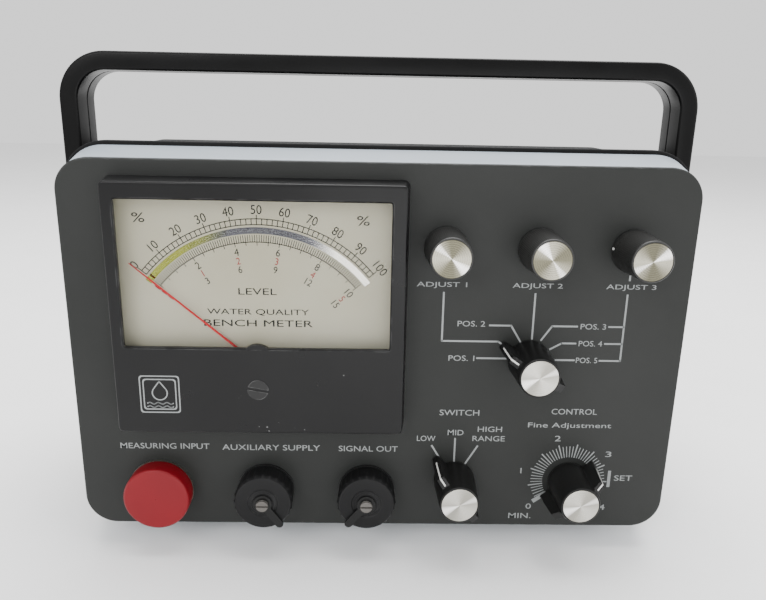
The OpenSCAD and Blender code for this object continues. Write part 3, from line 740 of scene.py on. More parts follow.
@dataclass
class Printer:
    """Prints words on a face as thin ink.

    Attributes:
        face: The panel's face.
        level: Distance out of the printed surface in millimetres.
        ink: Thickness of the ink in millimetres.
        weight: Extra thickness of the letters, as a share of their size.
        stretch: Width of the letters where a word gives none.
    """

    face: Face
    level: float = 0.0
    ink: float = 0.06
    weight: float = 0.0
    stretch: float = 1.15
    shape: Shape = field(default_factory=Shape)

    def letters(self, text: str) -> bpy.types.Mesh:
        """Return a text's mesh, one unit tall and with a unit of thickness."""
        curve = bpy.data.curves.new("letters", "FONT")
        curve.body = text
        curve.size = 1.0
        curve.extrude = 0.5
        curve.offset = self.weight
        curve.resolution_u = 3
        holder = bpy.data.objects.new("letters", curve)
        mesh = bpy.data.meshes.new_from_object(holder)
        bpy.data.objects.remove(holder)
        bpy.data.curves.remove(curve)
        return mesh

    def word(self, word: Word) -> None:
        """Print one word."""
        mesh = self.letters(word.text)
        xs = [v.co.x for v in mesh.vertices]
        ys = [v.co.y for v in mesh.vertices]
        tall = max(ys) - min(ys)
        up = word.height / tall
        across = word.width / (max(xs) - min(xs)) if word.width else up * self.stretch
        middle = (min(xs) + max(xs)) / 2
        turn = math.radians(word.turn)
        start = len(self.shape.points)
        self.shape.take(mesh)
        for i in range(start, len(self.shape.points)):
            p = self.shape.points[i]
            x, z = (p.x - middle) * across, (p.y - (min(ys) + max(ys)) / 2) * up
            self.shape.points[i] = self.face.point(
                word.across + x * math.cos(turn) - z * math.sin(turn),
                word.up + x * math.sin(turn) + z * math.cos(turn),
                self.level + (p.z + 0.5) * self.ink - self.ink / 3)
        bpy.data.meshes.remove(mesh)

    def line(self, path: Sequence[Point2], width: float) -> None:
        """Print a line along a path."""
        self.shape.stroke(self.face, path, width, self.level - self.ink / 3, self.level + self.ink * 2 / 3)

    def ray(self, centre: Point2, angle: float, inner: float, outer: float, width: float) -> None:
        """Print a tick that points away from a centre, its angle anticlockwise from the right."""
        c, s = math.cos(math.radians(angle)), math.sin(math.radians(angle))
        self.line([(centre[0] + r * c, centre[1] + r * s) for r in (inner, outer)], width)

    def arc(self, centre: Point2, radius: float, low: float, high: float, width: float,
            steps: int = 60) -> None:
        """Print an arc between two angles."""
        angles = [math.radians(low + (high - low) * i / steps) for i in range(steps + 1)]
        outer, inner = radius + width / 2, radius - width / 2
        edge = [(centre[0] + outer * math.cos(a), centre[1] + outer * math.sin(a)) for a in angles]
        edge += [(centre[0] + inner * math.cos(a), centre[1] + inner * math.sin(a))
                 for a in reversed(angles)]
        n = len(edge)
        ids = [self.shape.ring(self.face.point(x, z, self.level + self.ink * k) for x, z in edge)
               for k in (-1 / 3, 2 / 3)]
        for i in range(n):
            j = (i + 1) % n
            self.shape.faces.append((ids[0][i], ids[0][j], ids[1][j], ids[1][i]))
        for layer in ids:
            for i in range(steps):
                self.shape.faces.append((layer[i], layer[i + 1], layer[n - 2 - i], layer[n - 1 - i]))


@dataclass
class CaseShell:
    """Front panel, flared housing, rear case and feet.

    Attributes:
        face: The panel's face.
        panel_radius: Corner radius of the panel.
        edge: Rounding of the panel's front edge.
        wall: Wall of the housing and the case.
        lip_depth: Depth of the rear case's lip.
    """

    face: Face
    panel_radius: float = 13.0
    edge: float = 0.6
    wall: float = 3.0
    lip_depth: float = 4.0
    step: float = 3.5
    back_round: float = 8.0

    def build(self) -> None:
        """Build every outer piece of the case."""
        self.panel()
        self.housing()
        self.rear()
        self.screws()
        self.feet()

    def panel(self) -> None:
        """Build the charcoal panel with its softened edge."""
        w, h = self.face.size("front_panel")
        back = self.face.reach("front_panel")[0]
        profile = filleted([(0, back, 0), (0, 0, self.edge), (self.edge * 3, 0, 0)], 5)
        stages = [(w - 2 * inset, h - 2 * inset, self.panel_radius - inset, out) for inset, out in profile]
        add_piece("panel_plate", Shape().frames(self.face, (0, 0), stages, steps=14), ROOT, CHARCOAL,
                  ["front_panel"])

    def housing(self) -> None:
        """Build the housing as a flared ring, pale with its painted sheen."""
        w, h = self.face.size("front_panel")
        far_w = self.face.size("front_housing")[0]
        back, front = self.face.reach("front_housing")
        flare = (far_w - w) / 2
        outer = filleted([(self.wall, front, 0), (-0.2, front, 0.5), (-flare, back, 0.8),
                          (self.wall, back, 0)], 5)
        inner = [(self.wall, front - 0.01)]
        stages = [(w - 2 * i, h - 2 * i, self.panel_radius - i, out) for i, out in [*outer, *inner][:-1]]
        add_piece("flared_housing", Shape().frames(self.face, (0, 0), stages, looped=True, steps=14), ROOT,
                  HOUSING_SHEEN_PAINT, ["front_housing"])

    def rear(self) -> None:
        """Build the dark rear case: lip, sides, round back edge and inside."""
        w, h = self.face.size("rear_case")
        back, front = self.face.reach("rear_case")
        radius = self.panel_radius + (w - self.face.size("front_panel")[0]) / 2
        lip = front - self.lip_depth
        rib = 0.8
        outer = [(self.step + self.wall, front, 0), (0, front, 0.6), (0, lip, 0.5),
                 (self.step, lip - 0.3, 0.3),
                 (self.step, back + self.back_round * 2.4, 0.3),
                 (self.step + rib, back + self.back_round * 2.3, 0.3),
                 (self.step + rib, back + self.back_round * 2.1, 0.3),
                 (self.step, back + self.back_round * 2, 0.3),
                 (self.step, back, self.back_round - 0.5), (self.step + self.back_round + 8, back, 0.3),
                 (self.step + self.back_round + 9, back + rib, 0.3),
                 (self.step + self.back_round + 13, back + rib, 0.3),
                 (self.step + self.back_round + 14, back, 0.3), (self.step + self.back_round + 18, back, 0)]
        inner = [(self.step + self.back_round + 18, back + self.wall),
                 (self.step + self.wall, back + self.wall),
                 (self.step + self.wall, front - 0.01)]
        shape = Shape()

        def around(path: Sequence[Point2]) -> list[list[Vector]]:
            """Return a rounded rectangle for each inset and distance out of a profile."""
            return [[self.face.point(x, z, out)
                     for x, z in rounded_rect(w - 2 * inset, h - 2 * inset, max(radius - inset, 1.5), 14)]
                    for inset, out in path]

        rings, rooms = around(filleted(outer, 4)), around(inner)
        shape.loft([rooms[-1], *rings])
        shape.faces.pop(-2)
        ids = [shape.ring(r) for r in rooms]
        n = len(ids[0])
        for a, b in zip(ids, ids[1:]):
            shape.faces += [(a[i], a[(i + 1) % n], b[(i + 1) % n], b[i]) for i in range(n)]
        shape.faces.append(tuple(ids[0]))
        add_piece("rear_tub", shape, ROOT, CASE_PLASTIC, ["rear_case"])

    def screws(self) -> None:
        """Build the four long case screws, their slotted heads in thin cup washers."""
        w, h = self.face.size("case_screws")
        x0, z0 = self.face.middle("case_screws")
        back, front = self.face.reach("case_screws")
        surface = self.face.reach("rear_case")[0]
        head, shank, slot, proud, rim, level = 4.0, 2.0, 0.5, 0.55, 1.3, math.pi / 2
        steel, cups = Shape(), Shape()
        for sx in (-1, 1):
            for sz in (-1, 1):
                spot = (x0 + sx * (w / 2 - head), z0 + sz * (h / 2 - head))
                steel.lathe(self.face, spot, [(shank, front), (shank, back + 2.5), (head, back + 2.5),
                                              (head, surface + 0.1)], 48)
                steel.slotted(self.face, spot, head, slot, (surface - proud, surface + 0.2), turn=level)
                cups.lathe(self.face, spot, filleted([(head + rim, surface + 2, 0),
                                                      (head + rim, surface - 0.3, 0.25),
                                                      (head + 0.15, surface - 0.3, 0.15),
                                                      (head + 0.15, surface + 2, 0)], 4), 48)
        add_piece("case_screw_heads", steel, ROOT, STEEL, ["case_screws"])
        add_piece("case_screw_cups", cups, ROOT, DARK_SHELL)

    def feet(self) -> None:
        """Build the four rubber feet with a rounded rim and a sunk screw."""
        low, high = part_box("rubber_feet")
        radius = 8.5
        shape = Shape()
        for x in (low.x + radius * MM, high.x - radius * MM):
            for y in (low.y + radius * MM, high.y - radius * MM):
                profile = filleted([(3.6, 2.5, 0), (3.6, 0, 0.3), (radius - 1, 0, 1.0), (radius, 6, 0.4),
                                    (3.6, 6, 0)], 4)
                rings = [[Vector((x + r * MM * math.cos(a), y + r * MM * math.sin(a), low.z + z * MM))
                          for a in (2 * math.pi * i / 48 for i in range(48))] for r, z in profile]
                shape.loft(rings)
        add_piece("foot_pads", shape, ROOT, RUBBER, ["rubber_feet"])


@dataclass
class CarryHandle:
    """The black U-shaped strap that swings over the case.

    Attributes:
        face: The panel's face.
        corner: Outer radius of the strap's corners.
        thick: Thickness of the strap.
        soft: Rounding of the strap's long edges.
        groove: Width and depth of the groove inside it.
    """

    face: Face
    corner: float = 21.0
    thick: float = 8.0
    soft: float = 1.2
    groove: Point2 = (1.4, 0.8)

    def section(self, half: float) -> list[Point2]:
        """Return the strap's section as depth in from its outer face and distance along its depth.

        Args:
            half: Half of the strap's depth at this station.

        Returns:
            Points round the section.
        """
        s, t = min(self.soft, half * 0.45), self.thick
        g, d = min(self.groove[0] / 2, half * 0.2), self.groove[1]
        mid = half * 0.12
        corners = [(0, 0, 0), (0, -half, s), (t, -half, s), (t, mid - g, 0), (t - d, mid, 0),
                   (t, mid + g, 0),
                   (t, half, s), (0, half, s), (0, 0.001, 0)]
        return filleted(corners, 4)[:-1]

    def build(self) -> None:
        """Sweep the strap from one pivot, over the case, to the other."""
        low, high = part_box("carry_handle")
        pivot = next(j for j in frame["joints"] if j["name"] == "handle_swing")["pos_m"]
        half_w = (high.x - low.x) / 2 / MM
        half_d = (high.y - low.y) / 2 / MM
        top = (high.z - pivot[2]) / MM
        stations: list[tuple[Vector, Vector, float]] = []
        for i in range(13):
            a = math.radians(88 - 88 * i / 12)
            stations.append((Vector((-half_w, -half_d * math.sin(a))), Vector((1, 0)),
                             half_d * math.cos(a)))
        for z in (8, 30, 60):
            stations.append((Vector((-half_w, z)), Vector((1, 0)), half_d))
        for i in range(19):
            a = math.radians(180 - 90 * i / 18)
            centre = Vector((-half_w + self.corner, top - self.corner))
            out = Vector((math.cos(a), math.sin(a)))
            stations.append((centre + out * self.corner, -out, half_d))
        stations += [(Vector((-p.x, p.y)), Vector((-n.x, n.y)), h) for p, n, h in reversed(stations)]
        rings = []
        for place, inward, half in stations:
            rings.append([Vector((pivot[0] + (place.x + inward.x * n) * MM, pivot[1] + y * MM,
                                  pivot[2] + (place.y + inward.y * n) * MM))
                                  for n, y in self.section(half)])
        add_piece("handle_strap", Shape().loft(rings), "carry_handle", HANDLE_PLASTIC,
                  ["carry_handle"], sharp=25.0)


@dataclass
class PanelMeter:
    """Meter cover, dial print, needle and adjusting screw.

    Attributes:
        face: The panel's face.
        window: Width and height of the window.
        wall: Thickness of the cover.
        bezel: Chamfer round the window.
    """

    face: Face
    window: Point2 = (105.5, 58.6)
    wall: float = 2.0
    draft: float = 1.25
    bezel: float = 0.6
    axis: Point2 = field(init=False)
    dial_level: float = field(init=False)

    def __post_init__(self) -> None:
        """Find the needle's axis and the dial's level from the frame."""
        joint = next(j for j in frame["joints"] if j["name"] == "needle_swing")["pos_m"]
        self.axis = ((joint[0] - self.face.origin.x) / MM, (joint[2] - self.face.origin.z) / MM)
        self.dial_level = self.face.reach("meter_dial")[1]

    def window_middle(self) -> Point2:
        """Return the middle of the window on the face."""
        return self.face.middle("meter_window")

    def build(self) -> None:
        """Build the cover, its mark and chips, the dial print, the needle and the screw."""
        self.cover()
        self.badge()
        self.chips()
        self.scale()
        self.needle()
        self.screw()

    def cover(self) -> None:
        """Build the black cover as a ring from its outer walls round into the window."""
        base_w, base_h = self.face.size("meter_cover")
        centre = self.face.middle("meter_cover")
        depth = self.face.reach("meter_cover")[1]
        w, h = base_w - 2 * self.draft, base_h - 2 * self.draft
        wx, wz = self.window_middle()
        ww, wh = self.window
        steps = 6
        outer = [(base_w, base_h, 2.5, 0.0)]
        for inset, out in filleted([(-self.draft, 0, 0), (0, depth, 0.7), (5, depth, 0)], 4)[1:-1]:
            outer.append((w - 2 * inset, h - 2 * inset, 1.8, out))
        outer.append((w - 3, h - 3, 1.0, depth))
        rings = [[self.face.point(centre[0] + x, centre[1] + z, out)
                  for x, z in rounded_rect(a, b, r, steps)]
                 for a, b, r, out in outer]
        for grow, out in ((1.2 + self.bezel, depth), (self.bezel, depth), (0, depth - self.bezel),
                          (0, depth - self.wall), (8, depth - self.wall)):
            limit = min(grow, 2.6) if grow > 5 else grow
            rings.append([self.face.point(wx + x, wz + z, out)
                          for x, z in rounded_rect(ww + 2 * limit, wh + 2 * limit, 0.8 + limit, steps)])
        inside_w, inside_h = w - 2 * self.wall, h - 2 * self.wall
        for out in (depth - self.wall, 0.0):
            rings.append([self.face.point(centre[0] + x, centre[1] + z, out)
                          for x, z in rounded_rect(inside_w, inside_h, 1.2, steps)])
        shape = Shape().loft(rings, looped=True)
        add_piece("cover_frame", shape, ROOT, METER_PLASTIC, ["meter_cover"])
        hump = Shape()
        hump_r, hump_rise = 6.8, 1.6
        bottom = wz - wh / 2
        half = math.acos((hump_r - hump_rise) / hump_r)
        outline = [(self.axis[0] + hump_r * math.sin(a), bottom + hump_r * (math.cos(a) - 1) + hump_rise)
                   for a in (half - 2 * half * i / 16 for i in range(17))]
        hump.prism(self.face, [*outline, (outline[-1][0], bottom - 0.6),
                               (outline[0][0], bottom - 0.6)][::-1],
                   depth - self.wall, depth - 0.15)
        add_piece("pivot_hump", hump, ROOT, METER_PLASTIC)

    def badge(self) -> None:
        """Print a plain water drop over waves in a square frame."""
        depth = self.face.reach("meter_cover")[1]
        x0, z0 = self.face.middle("meter_cover")
        side, line = 16.2, 0.5
        cx, cz = x0 - 40.3, z0 - 34.3
        ink = Printer(self.face, depth)
        for k in (side, side - 2.8):
            ink.shape.frames(self.face, (cx, cz), [(k + g, k + g, 1.2, depth + o) for g, o in
                                                   ((0, -0.02), (0, 0.04), (-2 * line, 0.04),
                                                    (-2 * line, -0.02))],
                             looped=True, steps=4)
        centre, radius = (cx, cz + 0.6), 3.0
        ink.arc(centre, radius, 145, 395, line, 40)
        for sign in (-1, 1):
            a = math.radians(90 + sign * 55)
            ink.line([(centre[0] + radius * math.cos(a), centre[1] + radius * math.sin(a)), (cx, cz + 5.6)],
                     line)
        for row in range(2):
            wave = [(cx - 5.2 + 10.4 * i / 24, cz - 3.9 - 1.5 * row + 0.35 * math.sin(i * math.pi / 4))
                    for i in range(25)]
            ink.line(wave, 0.5)
        add_piece("drop_badge", ink.shape, ROOT, WHITE_INK)

    def chips(self) -> None:
        """Scatter a few small paint specks low on the cover."""
        depth = self.face.reach("meter_cover")[1]
        rng = random.Random(7)
        shape = Shape()
        spots = [(-14, -4.5, 0.4), (-48.6, -27.4, 0.3), (-45.4, -27.6, 0.5), (-44.6, -29.4, 0.4),
                 (-30, -28.6, 0.35)]
        spots += [(rng.uniform(-60, 0), rng.uniform(-30, 0), rng.uniform(0.1, 0.16)) for _ in range(4)]
        for x, z, size in spots:
            blot = [(x + size * rng.uniform(0.5, 1.0) * math.cos(a),
                     z + size * rng.uniform(0.4, 0.8) * math.sin(a))
                    for a in (2 * math.pi * i / 9 for i in range(9))]
            shape.prism(self.face, blot, depth - 0.02, depth + 0.03)
        add_piece("paint_specks", shape, ROOT, SPECK)

    def mark(self, printer: Printer, share: float, inner: float, outer: float, width: float) -> None:
        """Print a scale tick at a share of the needle's sweep, from nought at the left to one."""
        printer.ray(self.axis, 140 - 100 * share, inner, outer, width)

    def figure(self, printer: Printer, text: str, share: float, radius: float, height: float) -> None:
        """Print a number square to its place on the scale."""
        a = math.radians(140 - 100 * share)
        printer.word(Word(text, self.axis[0] + radius * math.cos(a), self.axis[1] + radius * math.sin(a),
                          height=height, turn=50 - 100 * share))

    def scale(self) -> None:
        """Print the per cent scale, the three inner scales, their figures and the titles."""
        black = Printer(self.face, self.dial_level, stretch=0.9)
        red = Printer(self.face, self.dial_level, stretch=0.9)
        low_arc, high_arc = 40, 140
        for radius in (60.0, 57.7):
            black.arc(self.axis, radius, low_arc, high_arc, 0.36)
        black.arc(self.axis, 50.8, low_arc, high_arc, 0.34)
        for degree in range(51):
            self.mark(black, degree / 50, 57.7, 61.5 if degree % 5 == 0 else 60.0, 0.34)
        for step in range(101):
            self.mark(black, step / 100, 49.4 if step % 5 == 0 else 50.8, 53.6, 0.27)
        for i in range(11):
            self.figure(black, str(10 * i), i / 10, 63.6, 3.6)
        for i in range(1, 6):
            self.figure(black, str(2 * i), i / 5, 47.3, 3.0)
            self.figure(red, str(i), i / 5, 43.7, 2.8)
            self.figure(black, str(3 * i), i / 5, 40.2, 2.8)
        title = Printer(self.face, self.dial_level, shape=black.shape)
        for x in (-94.6, -6.9):
            title.word(Word("%", x, 57.0, 5.0, 3.8))
        title.word(Word("LEVEL", -49.0, 27.8, 15.4, 2.7))
        title.word(Word("WATER QUALITY", -49.0, 19.1, 41.0, 2.8))
        title.word(Word("BENCH METER", -49.0, 14.5, 44.0, 2.8))
        for inner in (43.6, 46.8, 50.0):
            red.ray(self.axis, 141.5, inner, inner + 2.2, 0.9)
        add_piece("dial_print", black.shape, ROOT, BLACK_INK)
        add_piece("dial_red_print", red.shape, ROOT, RED_INK)

    def needle(self) -> None:
        """Build the thin red needle with its hub and counterweight."""
        low, high = self.face.reach("meter_pointer")
        level = low + 0.9
        angle = math.radians(140)
        along = Vector((math.cos(angle), math.sin(angle)))
        side = Vector((-math.sin(angle), math.cos(angle)))
        outline = ((-9, 0.8), (-4, 0.55), (20, 0.42), (54, 0.34), (65.5, 0.12))
        left = [Vector(self.axis) + along * d + side * h for d, h in outline]
        right = [Vector(self.axis) + along * d - side * h for d, h in outline[::-1]]
        shape = Shape().prism(self.face, [(p.x, p.y) for p in left + right], level, level + 0.35)
        shape.lathe(self.face, self.axis, filleted([(2.2, low, 0), (2.2, high, 0.3), (0.7, high, 0)], 3),
                    32)
        add_piece("needle_blade", shape, "needle", NEEDLE_PAINT, ["meter_pointer"])

    def screw(self) -> None:
        """Build the slotted adjusting screw as two half discs beside its slot."""
        x, z = self.face.middle("zero_adjust_screw")
        low, high = self.face.reach("zero_adjust_screw")
        radius, half_slot, tilt, deep = 4.25, 0.55, math.radians(-10), 1.2
        shape = Shape().slotted(self.face, (x, z), radius, half_slot, (high - deep, high), turn=tilt)
        shape.lathe(self.face, (x, z), [(radius, low), (radius, high - 1.1)], 48)
        add_piece("adjuster_head", shape, "zero_adjuster", ADJUSTER_PLASTIC,
                  ["zero_adjust_screw"])


@dataclass
class Knob:
    """A control knob with its spun metal disc.

    Attributes:
        face: The panel's face.
        name: The control's name in the frame.
        foot: Radius at the foot.
        top: Radius at the top.
        disc: Radius of the metal disc.
        index: Angle of the white index in degrees, at rest.
        fan: Turn of the disc's painted highlight fans in radians.
        bright: Painted highlight colour of the disc's fans.
        shade: Painted shade of the disc between the fans.
    """

    face: Face
    name: str
    foot: float = 8.9
    top: float = 8.1
    disc: float = 7.4
    index: float = 0.0
    fan: float = 0.6
    # Dimmer copy of the painted highlight and shade, used by the three upper discs.
    bright: Colour = (0.33, 0.315, 0.255)
    shade: Colour = (0.12, 0.113, 0.08)
    axis: Point2 = field(init=False)
    height: float = field(init=False)

    def __post_init__(self) -> None:
        """Find the knob's axis and height from the frame."""
        self.axis = self.face.middle(f"{self.name}_shaft")
        self.height = self.face.reach(f"{self.name}_disc")[1]

    def profile(self) -> list[Point2]:
        """Return the knob's profile from its foot to the disc's seat."""
        h, foot = self.height, 1.0
        outside = [(self.foot - 1.6, foot + 4.2, 0), (self.foot - 1.6, foot, 0.2), (self.foot, foot, 0.4)]
        points = filleted([*outside, (self.top, h, 0.7), (self.disc + 0.05, h, 0.15),
                           (self.disc + 0.05, h - 0.9, 0),
                           (2.0, h - 0.9, 0)], 4)
        dense: list[Point2] = []
        for a, b in zip(points, points[1:]):
            dense.append(a)
            if b[1] - a[1] > 5:
                dense += [(a[0] + (b[0] - a[0]) * (out - a[1]) / (b[1] - a[1]), out)
                          for out in self.levels() if a[1] < out < b[1]]
        return [*dense, points[-1]]

    def levels(self) -> list[float]:
        """Return the heights where the side needs a ring of points."""
        return [3.0, 3.2, self.height - 2.0, self.height - 1.8]

    def ripple(self, radius: float, out: float, angle: float) -> float:
        """Return the radius with fine grip ribs on the knob's side."""
        inside = 3.0 < out < self.height - 1.8 and radius > self.disc + 0.3
        return radius - (0.11 * (0.5 + 0.5 * math.cos(72 * angle)) if inside else 0.0)

    def metal(self) -> None:
        """Build the spun disc with a soft edge and a small centre dimple."""
        h = self.height
        pitch, deep = 0.3, 0.016
        rings = int((self.disc - 1.2) / pitch)
        turned = [(self.disc - 0.4 - pitch * (i / 6), h - deep * (0.5 - 0.5 * math.cos(i * math.pi / 3)))
                  for i in range(6 * rings + 1)]
        profile = [(self.disc, h - 0.9), (self.disc, h - 0.25), (self.disc - 0.08, h - 0.08),
                   (self.disc - 0.25, h)]
        profile += [*turned, (0.5, h - 0.03), (0.05, h - 0.08)]
        finish = TurnedMetal(f"turned_{self.name}", tuple(self.face.point(*self.axis)), self.bright,
                             self.shade,
                             turn=self.fan)
        add_piece(f"{self.name}_spun_disc", Shape().lathe(self.face, self.axis, profile, 96),
                  f"{self.name}_control",
                  finish, [f"{self.name}_disc"])

    def index_mark(self) -> None:
        """Print the white index at the knob's foot."""
        a0 = math.radians(self.index)
        shape = Shape()
        rings = []
        for out in (1.3, 3.0):
            ring = []
            for r, da in ((self.foot - 0.3, -0.05), (self.foot + 0.06, -0.05), (self.foot + 0.06, 0.05),
                          (self.foot - 0.3, 0.05)):
                ring.append(self.face.point(self.axis[0] + r * math.cos(a0 + da),
                                            self.axis[1] + r * math.sin(a0 + da), out))
            rings.append(ring)
        add_piece(f"{self.name}_index", shape.loft(rings), f"{self.name}_control", INDEX_PAINT)

    def grip(self) -> None:
        """Build the ribbed black grip."""
        shape = Shape().lathe(self.face, self.axis, self.profile(), 360, ripple=self.ripple)
        add_piece(f"{self.name}_grip", shape, f"{self.name}_control", GRIP_PLASTIC,
                  [f"{self.name}_knob"], sharp=40.0)

    def build(self) -> None:
        """Build the grip, its index, the disc and the shaft's finish."""
        self.grip()
        self.index_mark()
        self.metal()
        dress_node(f"{self.name}_shaft", STEEL)


@dataclass
class PointerKnob(Knob):
    """A knob with a fin across it, whose long edge carries a white line.

    Attributes:
        reach: Reach of the fin from the axis.
        shoulder: Height where the fin starts to slope to the top.
        tip: Half the width of the fin's edge.
    """

    reach: float = 14.0
    lean: float = 1.6
    shoulder: float = 16.8
    slope: float = 1.6
    half: float = 1.6

    def levels(self) -> list[float]:
        """Return the heights where the side and the fin need a ring of points."""
        rise = [self.shoulder * k / 8 for k in range(1, 8)]
        edge = [self.shoulder - 0.15, self.shoulder, self.shoulder + 0.15]
        fall = [self.shoulder + self.slope * k / 4 for k in range(1, 6)]
        return [*rise, *edge, *fall]

    def fin(self, out: float) -> float:
        """Return the fin's reach at a height."""
        if out <= self.shoulder:
            return self.reach - self.lean * out / self.shoulder
        share = min((out - self.shoulder) / self.slope, 1.5)
        edge = self.reach - self.lean
        return edge - (edge - self.foot - 0.4) * share

    def ripple(self, radius: float, out: float, angle: float) -> float:
        """Return the radius with the fin blended into the round body."""
        if radius < self.disc + 0.3 or out > self.height - 1.0 or out < 1.0:
            return radius
        turned = angle - math.radians(self.index)
        reach = self.fin(out)
        if reach <= radius:
            return radius
        ahead, aside = abs(math.cos(turned)), abs(math.sin(turned))
        flare = self.half + 1.2 * aside
        bar = min(reach / max(ahead, 1e-6), flare / max(aside, 1e-6))
        return (radius ** 14 + min(bar, reach * 1.02) ** 14) ** (1 / 14) if bar > radius * 0.6 else radius

    def grip(self) -> None:
        """Build the smooth black body and fin."""
        shape = Shape().lathe(self.face, self.axis, self.profile(), 240, ripple=self.ripple)
        add_piece(f"{self.name}_grip", shape, f"{self.name}_control", KNOB_PLASTIC,
                  [f"{self.name}_knob"], sharp=30.0)

    def index_mark(self) -> None:
        """Print the white line up the fin's edge and over its slope."""
        a0 = math.radians(self.index)
        along, side = Vector((math.cos(a0), math.sin(a0))), Vector((-math.sin(a0), math.cos(a0)))
        rings = []
        outs = [5.0, 11.0, self.shoulder, self.shoulder + self.slope]
        for out in outs:
            ring = []
            for grow, half in ((-0.3, -0.33), (0.07, -0.33), (0.07, 0.33), (-0.3, 0.33)):
                p = Vector(self.axis) + along * (self.fin(out) + grow) + side * half
                ring.append(self.face.point(p.x, p.y, out + (0.1 if out >= self.shoulder else 0.0)))
            rings.append(ring)
        add_piece(f"{self.name}_index", Shape().loft(rings), f"{self.name}_control", INDEX_PAINT)


@dataclass
class PushCap:
    """The soft red cap pushed over the probe's receptacle."""

    face: Face
    radius: float = 13.9
    bore: float = 12.75

    def build(self) -> None:
        """Build the cap with a rounded rim and a faintly dished face."""
        axis = self.face.middle("probe_receptacle")
        low, high = self.face.reach("probe_cap")
        profile = filleted([(self.bore, low, 0), (self.radius, low, 0.4), (self.radius, high, 1.2),
                            (8.0, high - 0.02, 2.0), (0.2, high - 0.12, 0)], 6)
        inside = [(0.2, high - 1.6), (self.bore, high - 1.6)]
        shape = Shape().lathe(self.face, axis, [*profile, *inside], 96, looped=True)
        add_piece("red_probe_cap", shape, "probe_cap", RED_VINYL, ["probe_cap"])


@dataclass
class ScrewCap:
    """A black screw cap with flutes, a swivel screw and a lug.

    Attributes:
        face: The panel's face.
        name: The receptacle's name in the frame.
        bore: Radius of the inside.
        rim: Radius of the rim.
        lug: Angle of the lug in degrees.
    """

    face: Face
    name: str
    lug: float
    bore: float = 11.16
    rim: float = 12.1

    def build(self) -> None:
        """Build the cap, its lug and its screw."""
        axis = self.face.middle(f"{self.name}_receptacle")
        low, high = self.face.reach(f"{self.name}_cap")
        profile = filleted([(self.bore, low, 0), (self.rim, low, 0.3), (self.rim, low + 1.4, 0.2),
                            (self.rim, high - 1.6, 0.2), (self.rim - 0.5, high, 0.5), (6.5, high, 0.15),
                            (6.1, high - 0.35, 0.1), (5.3, high - 0.35, 0.1), (5.0, high, 0.1),
                            (1.56, high, 0)], 3)
        inside = [(1.56, high - 1.8), (self.bore, high - 1.8)]
        count = 24

        def flutes(radius: float, out: float, angle: float) -> float:
            """Return the radius with flutes round the rim."""
            on = radius > self.rim - 0.4 and low + 1.5 < out < high - 0.4
            return radius + (0.45 * (0.5 + 0.5 * math.cos(count * angle)) ** 2 if on else 0.0)

        shape = Shape().lathe(self.face, axis, [*profile, *inside], 288, looped=True, ripple=flutes)
        add_piece(f"{self.name}_screw_cap", shape, f"{self.name}_cap", CAP_PLASTIC,
                  [f"{self.name}_cap"])
        self.tab(axis)
        self.swivel(axis)

    def tab(self, axis: Point2) -> None:
        """Build the lug: an eye under the screw's head, and a tail that reaches past the rim."""
        low, high = self.face.reach(f"{self.name}_cap_lug")
        eye, hole, half, tail = 4.0, 1.56, 1.7, 13.3
        turn = math.radians(self.lug)
        start = math.asin(half / eye)
        outline = [(eye * math.cos(a), eye * math.sin(a))
                   for a in (start + (2 * math.pi - 2 * start) * i / 36 for i in range(37))]
        outline += [(tail - half, -half)]
        outline += [(tail - half + half * math.cos(a), half * math.sin(a))
                    for a in (math.pi * (i / 10 - 0.5) for i in range(1, 10))]
        outline += [(tail - half, half)]
        inner = []
        for x, z in outline:
            away = math.hypot(x, z)
            inner.append((x * hole / away, z * hole / away))
        rings = []
        for path, out in ((inner, low), (outline, low), (outline, high - 0.15), (outline, high),
                          (inner, high)):
            shrink = 0.97 if out == high and path is outline else 1.0
            rings.append([self.face.point(axis[0] + shrink * (x * math.cos(turn) - z * math.sin(turn)),
                                          axis[1] + shrink * (x * math.sin(turn) + z * math.cos(turn)), out)
                          for x, z in path])
        shape = Shape().loft(rings, looped=True)
        add_piece(f"{self.name}_lug_bar", shape, f"{self.name}_lug", KNOB_PLASTIC,
                  [f"{self.name}_cap_lug"])

    def swivel(self, axis: Point2) -> None:
        """Build the screw with its domed head, cut by a slot."""
        low, high = self.face.reach(f"{self.name}_cap_screw")
        profile = [(1.5, low)] + filleted([(1.5, high - 1.4, 0), (2.7, high - 1.4, 0.1),
                                           (2.6, high - 0.6, 0.2),
                                           (1.7, high - 0.5, 0.1), (0.1, high - 0.5, 0)], 3)
        shape = Shape().lathe(self.face, axis, profile, 48)
        shape.slotted(self.face, axis, 2.5, 0.4, (high - 0.6, high), steps=18)
        add_piece(f"{self.name}_swivel", shape, f"{self.name}_cap", SWIVEL_STEEL,
                  [f"{self.name}_cap_screw"])


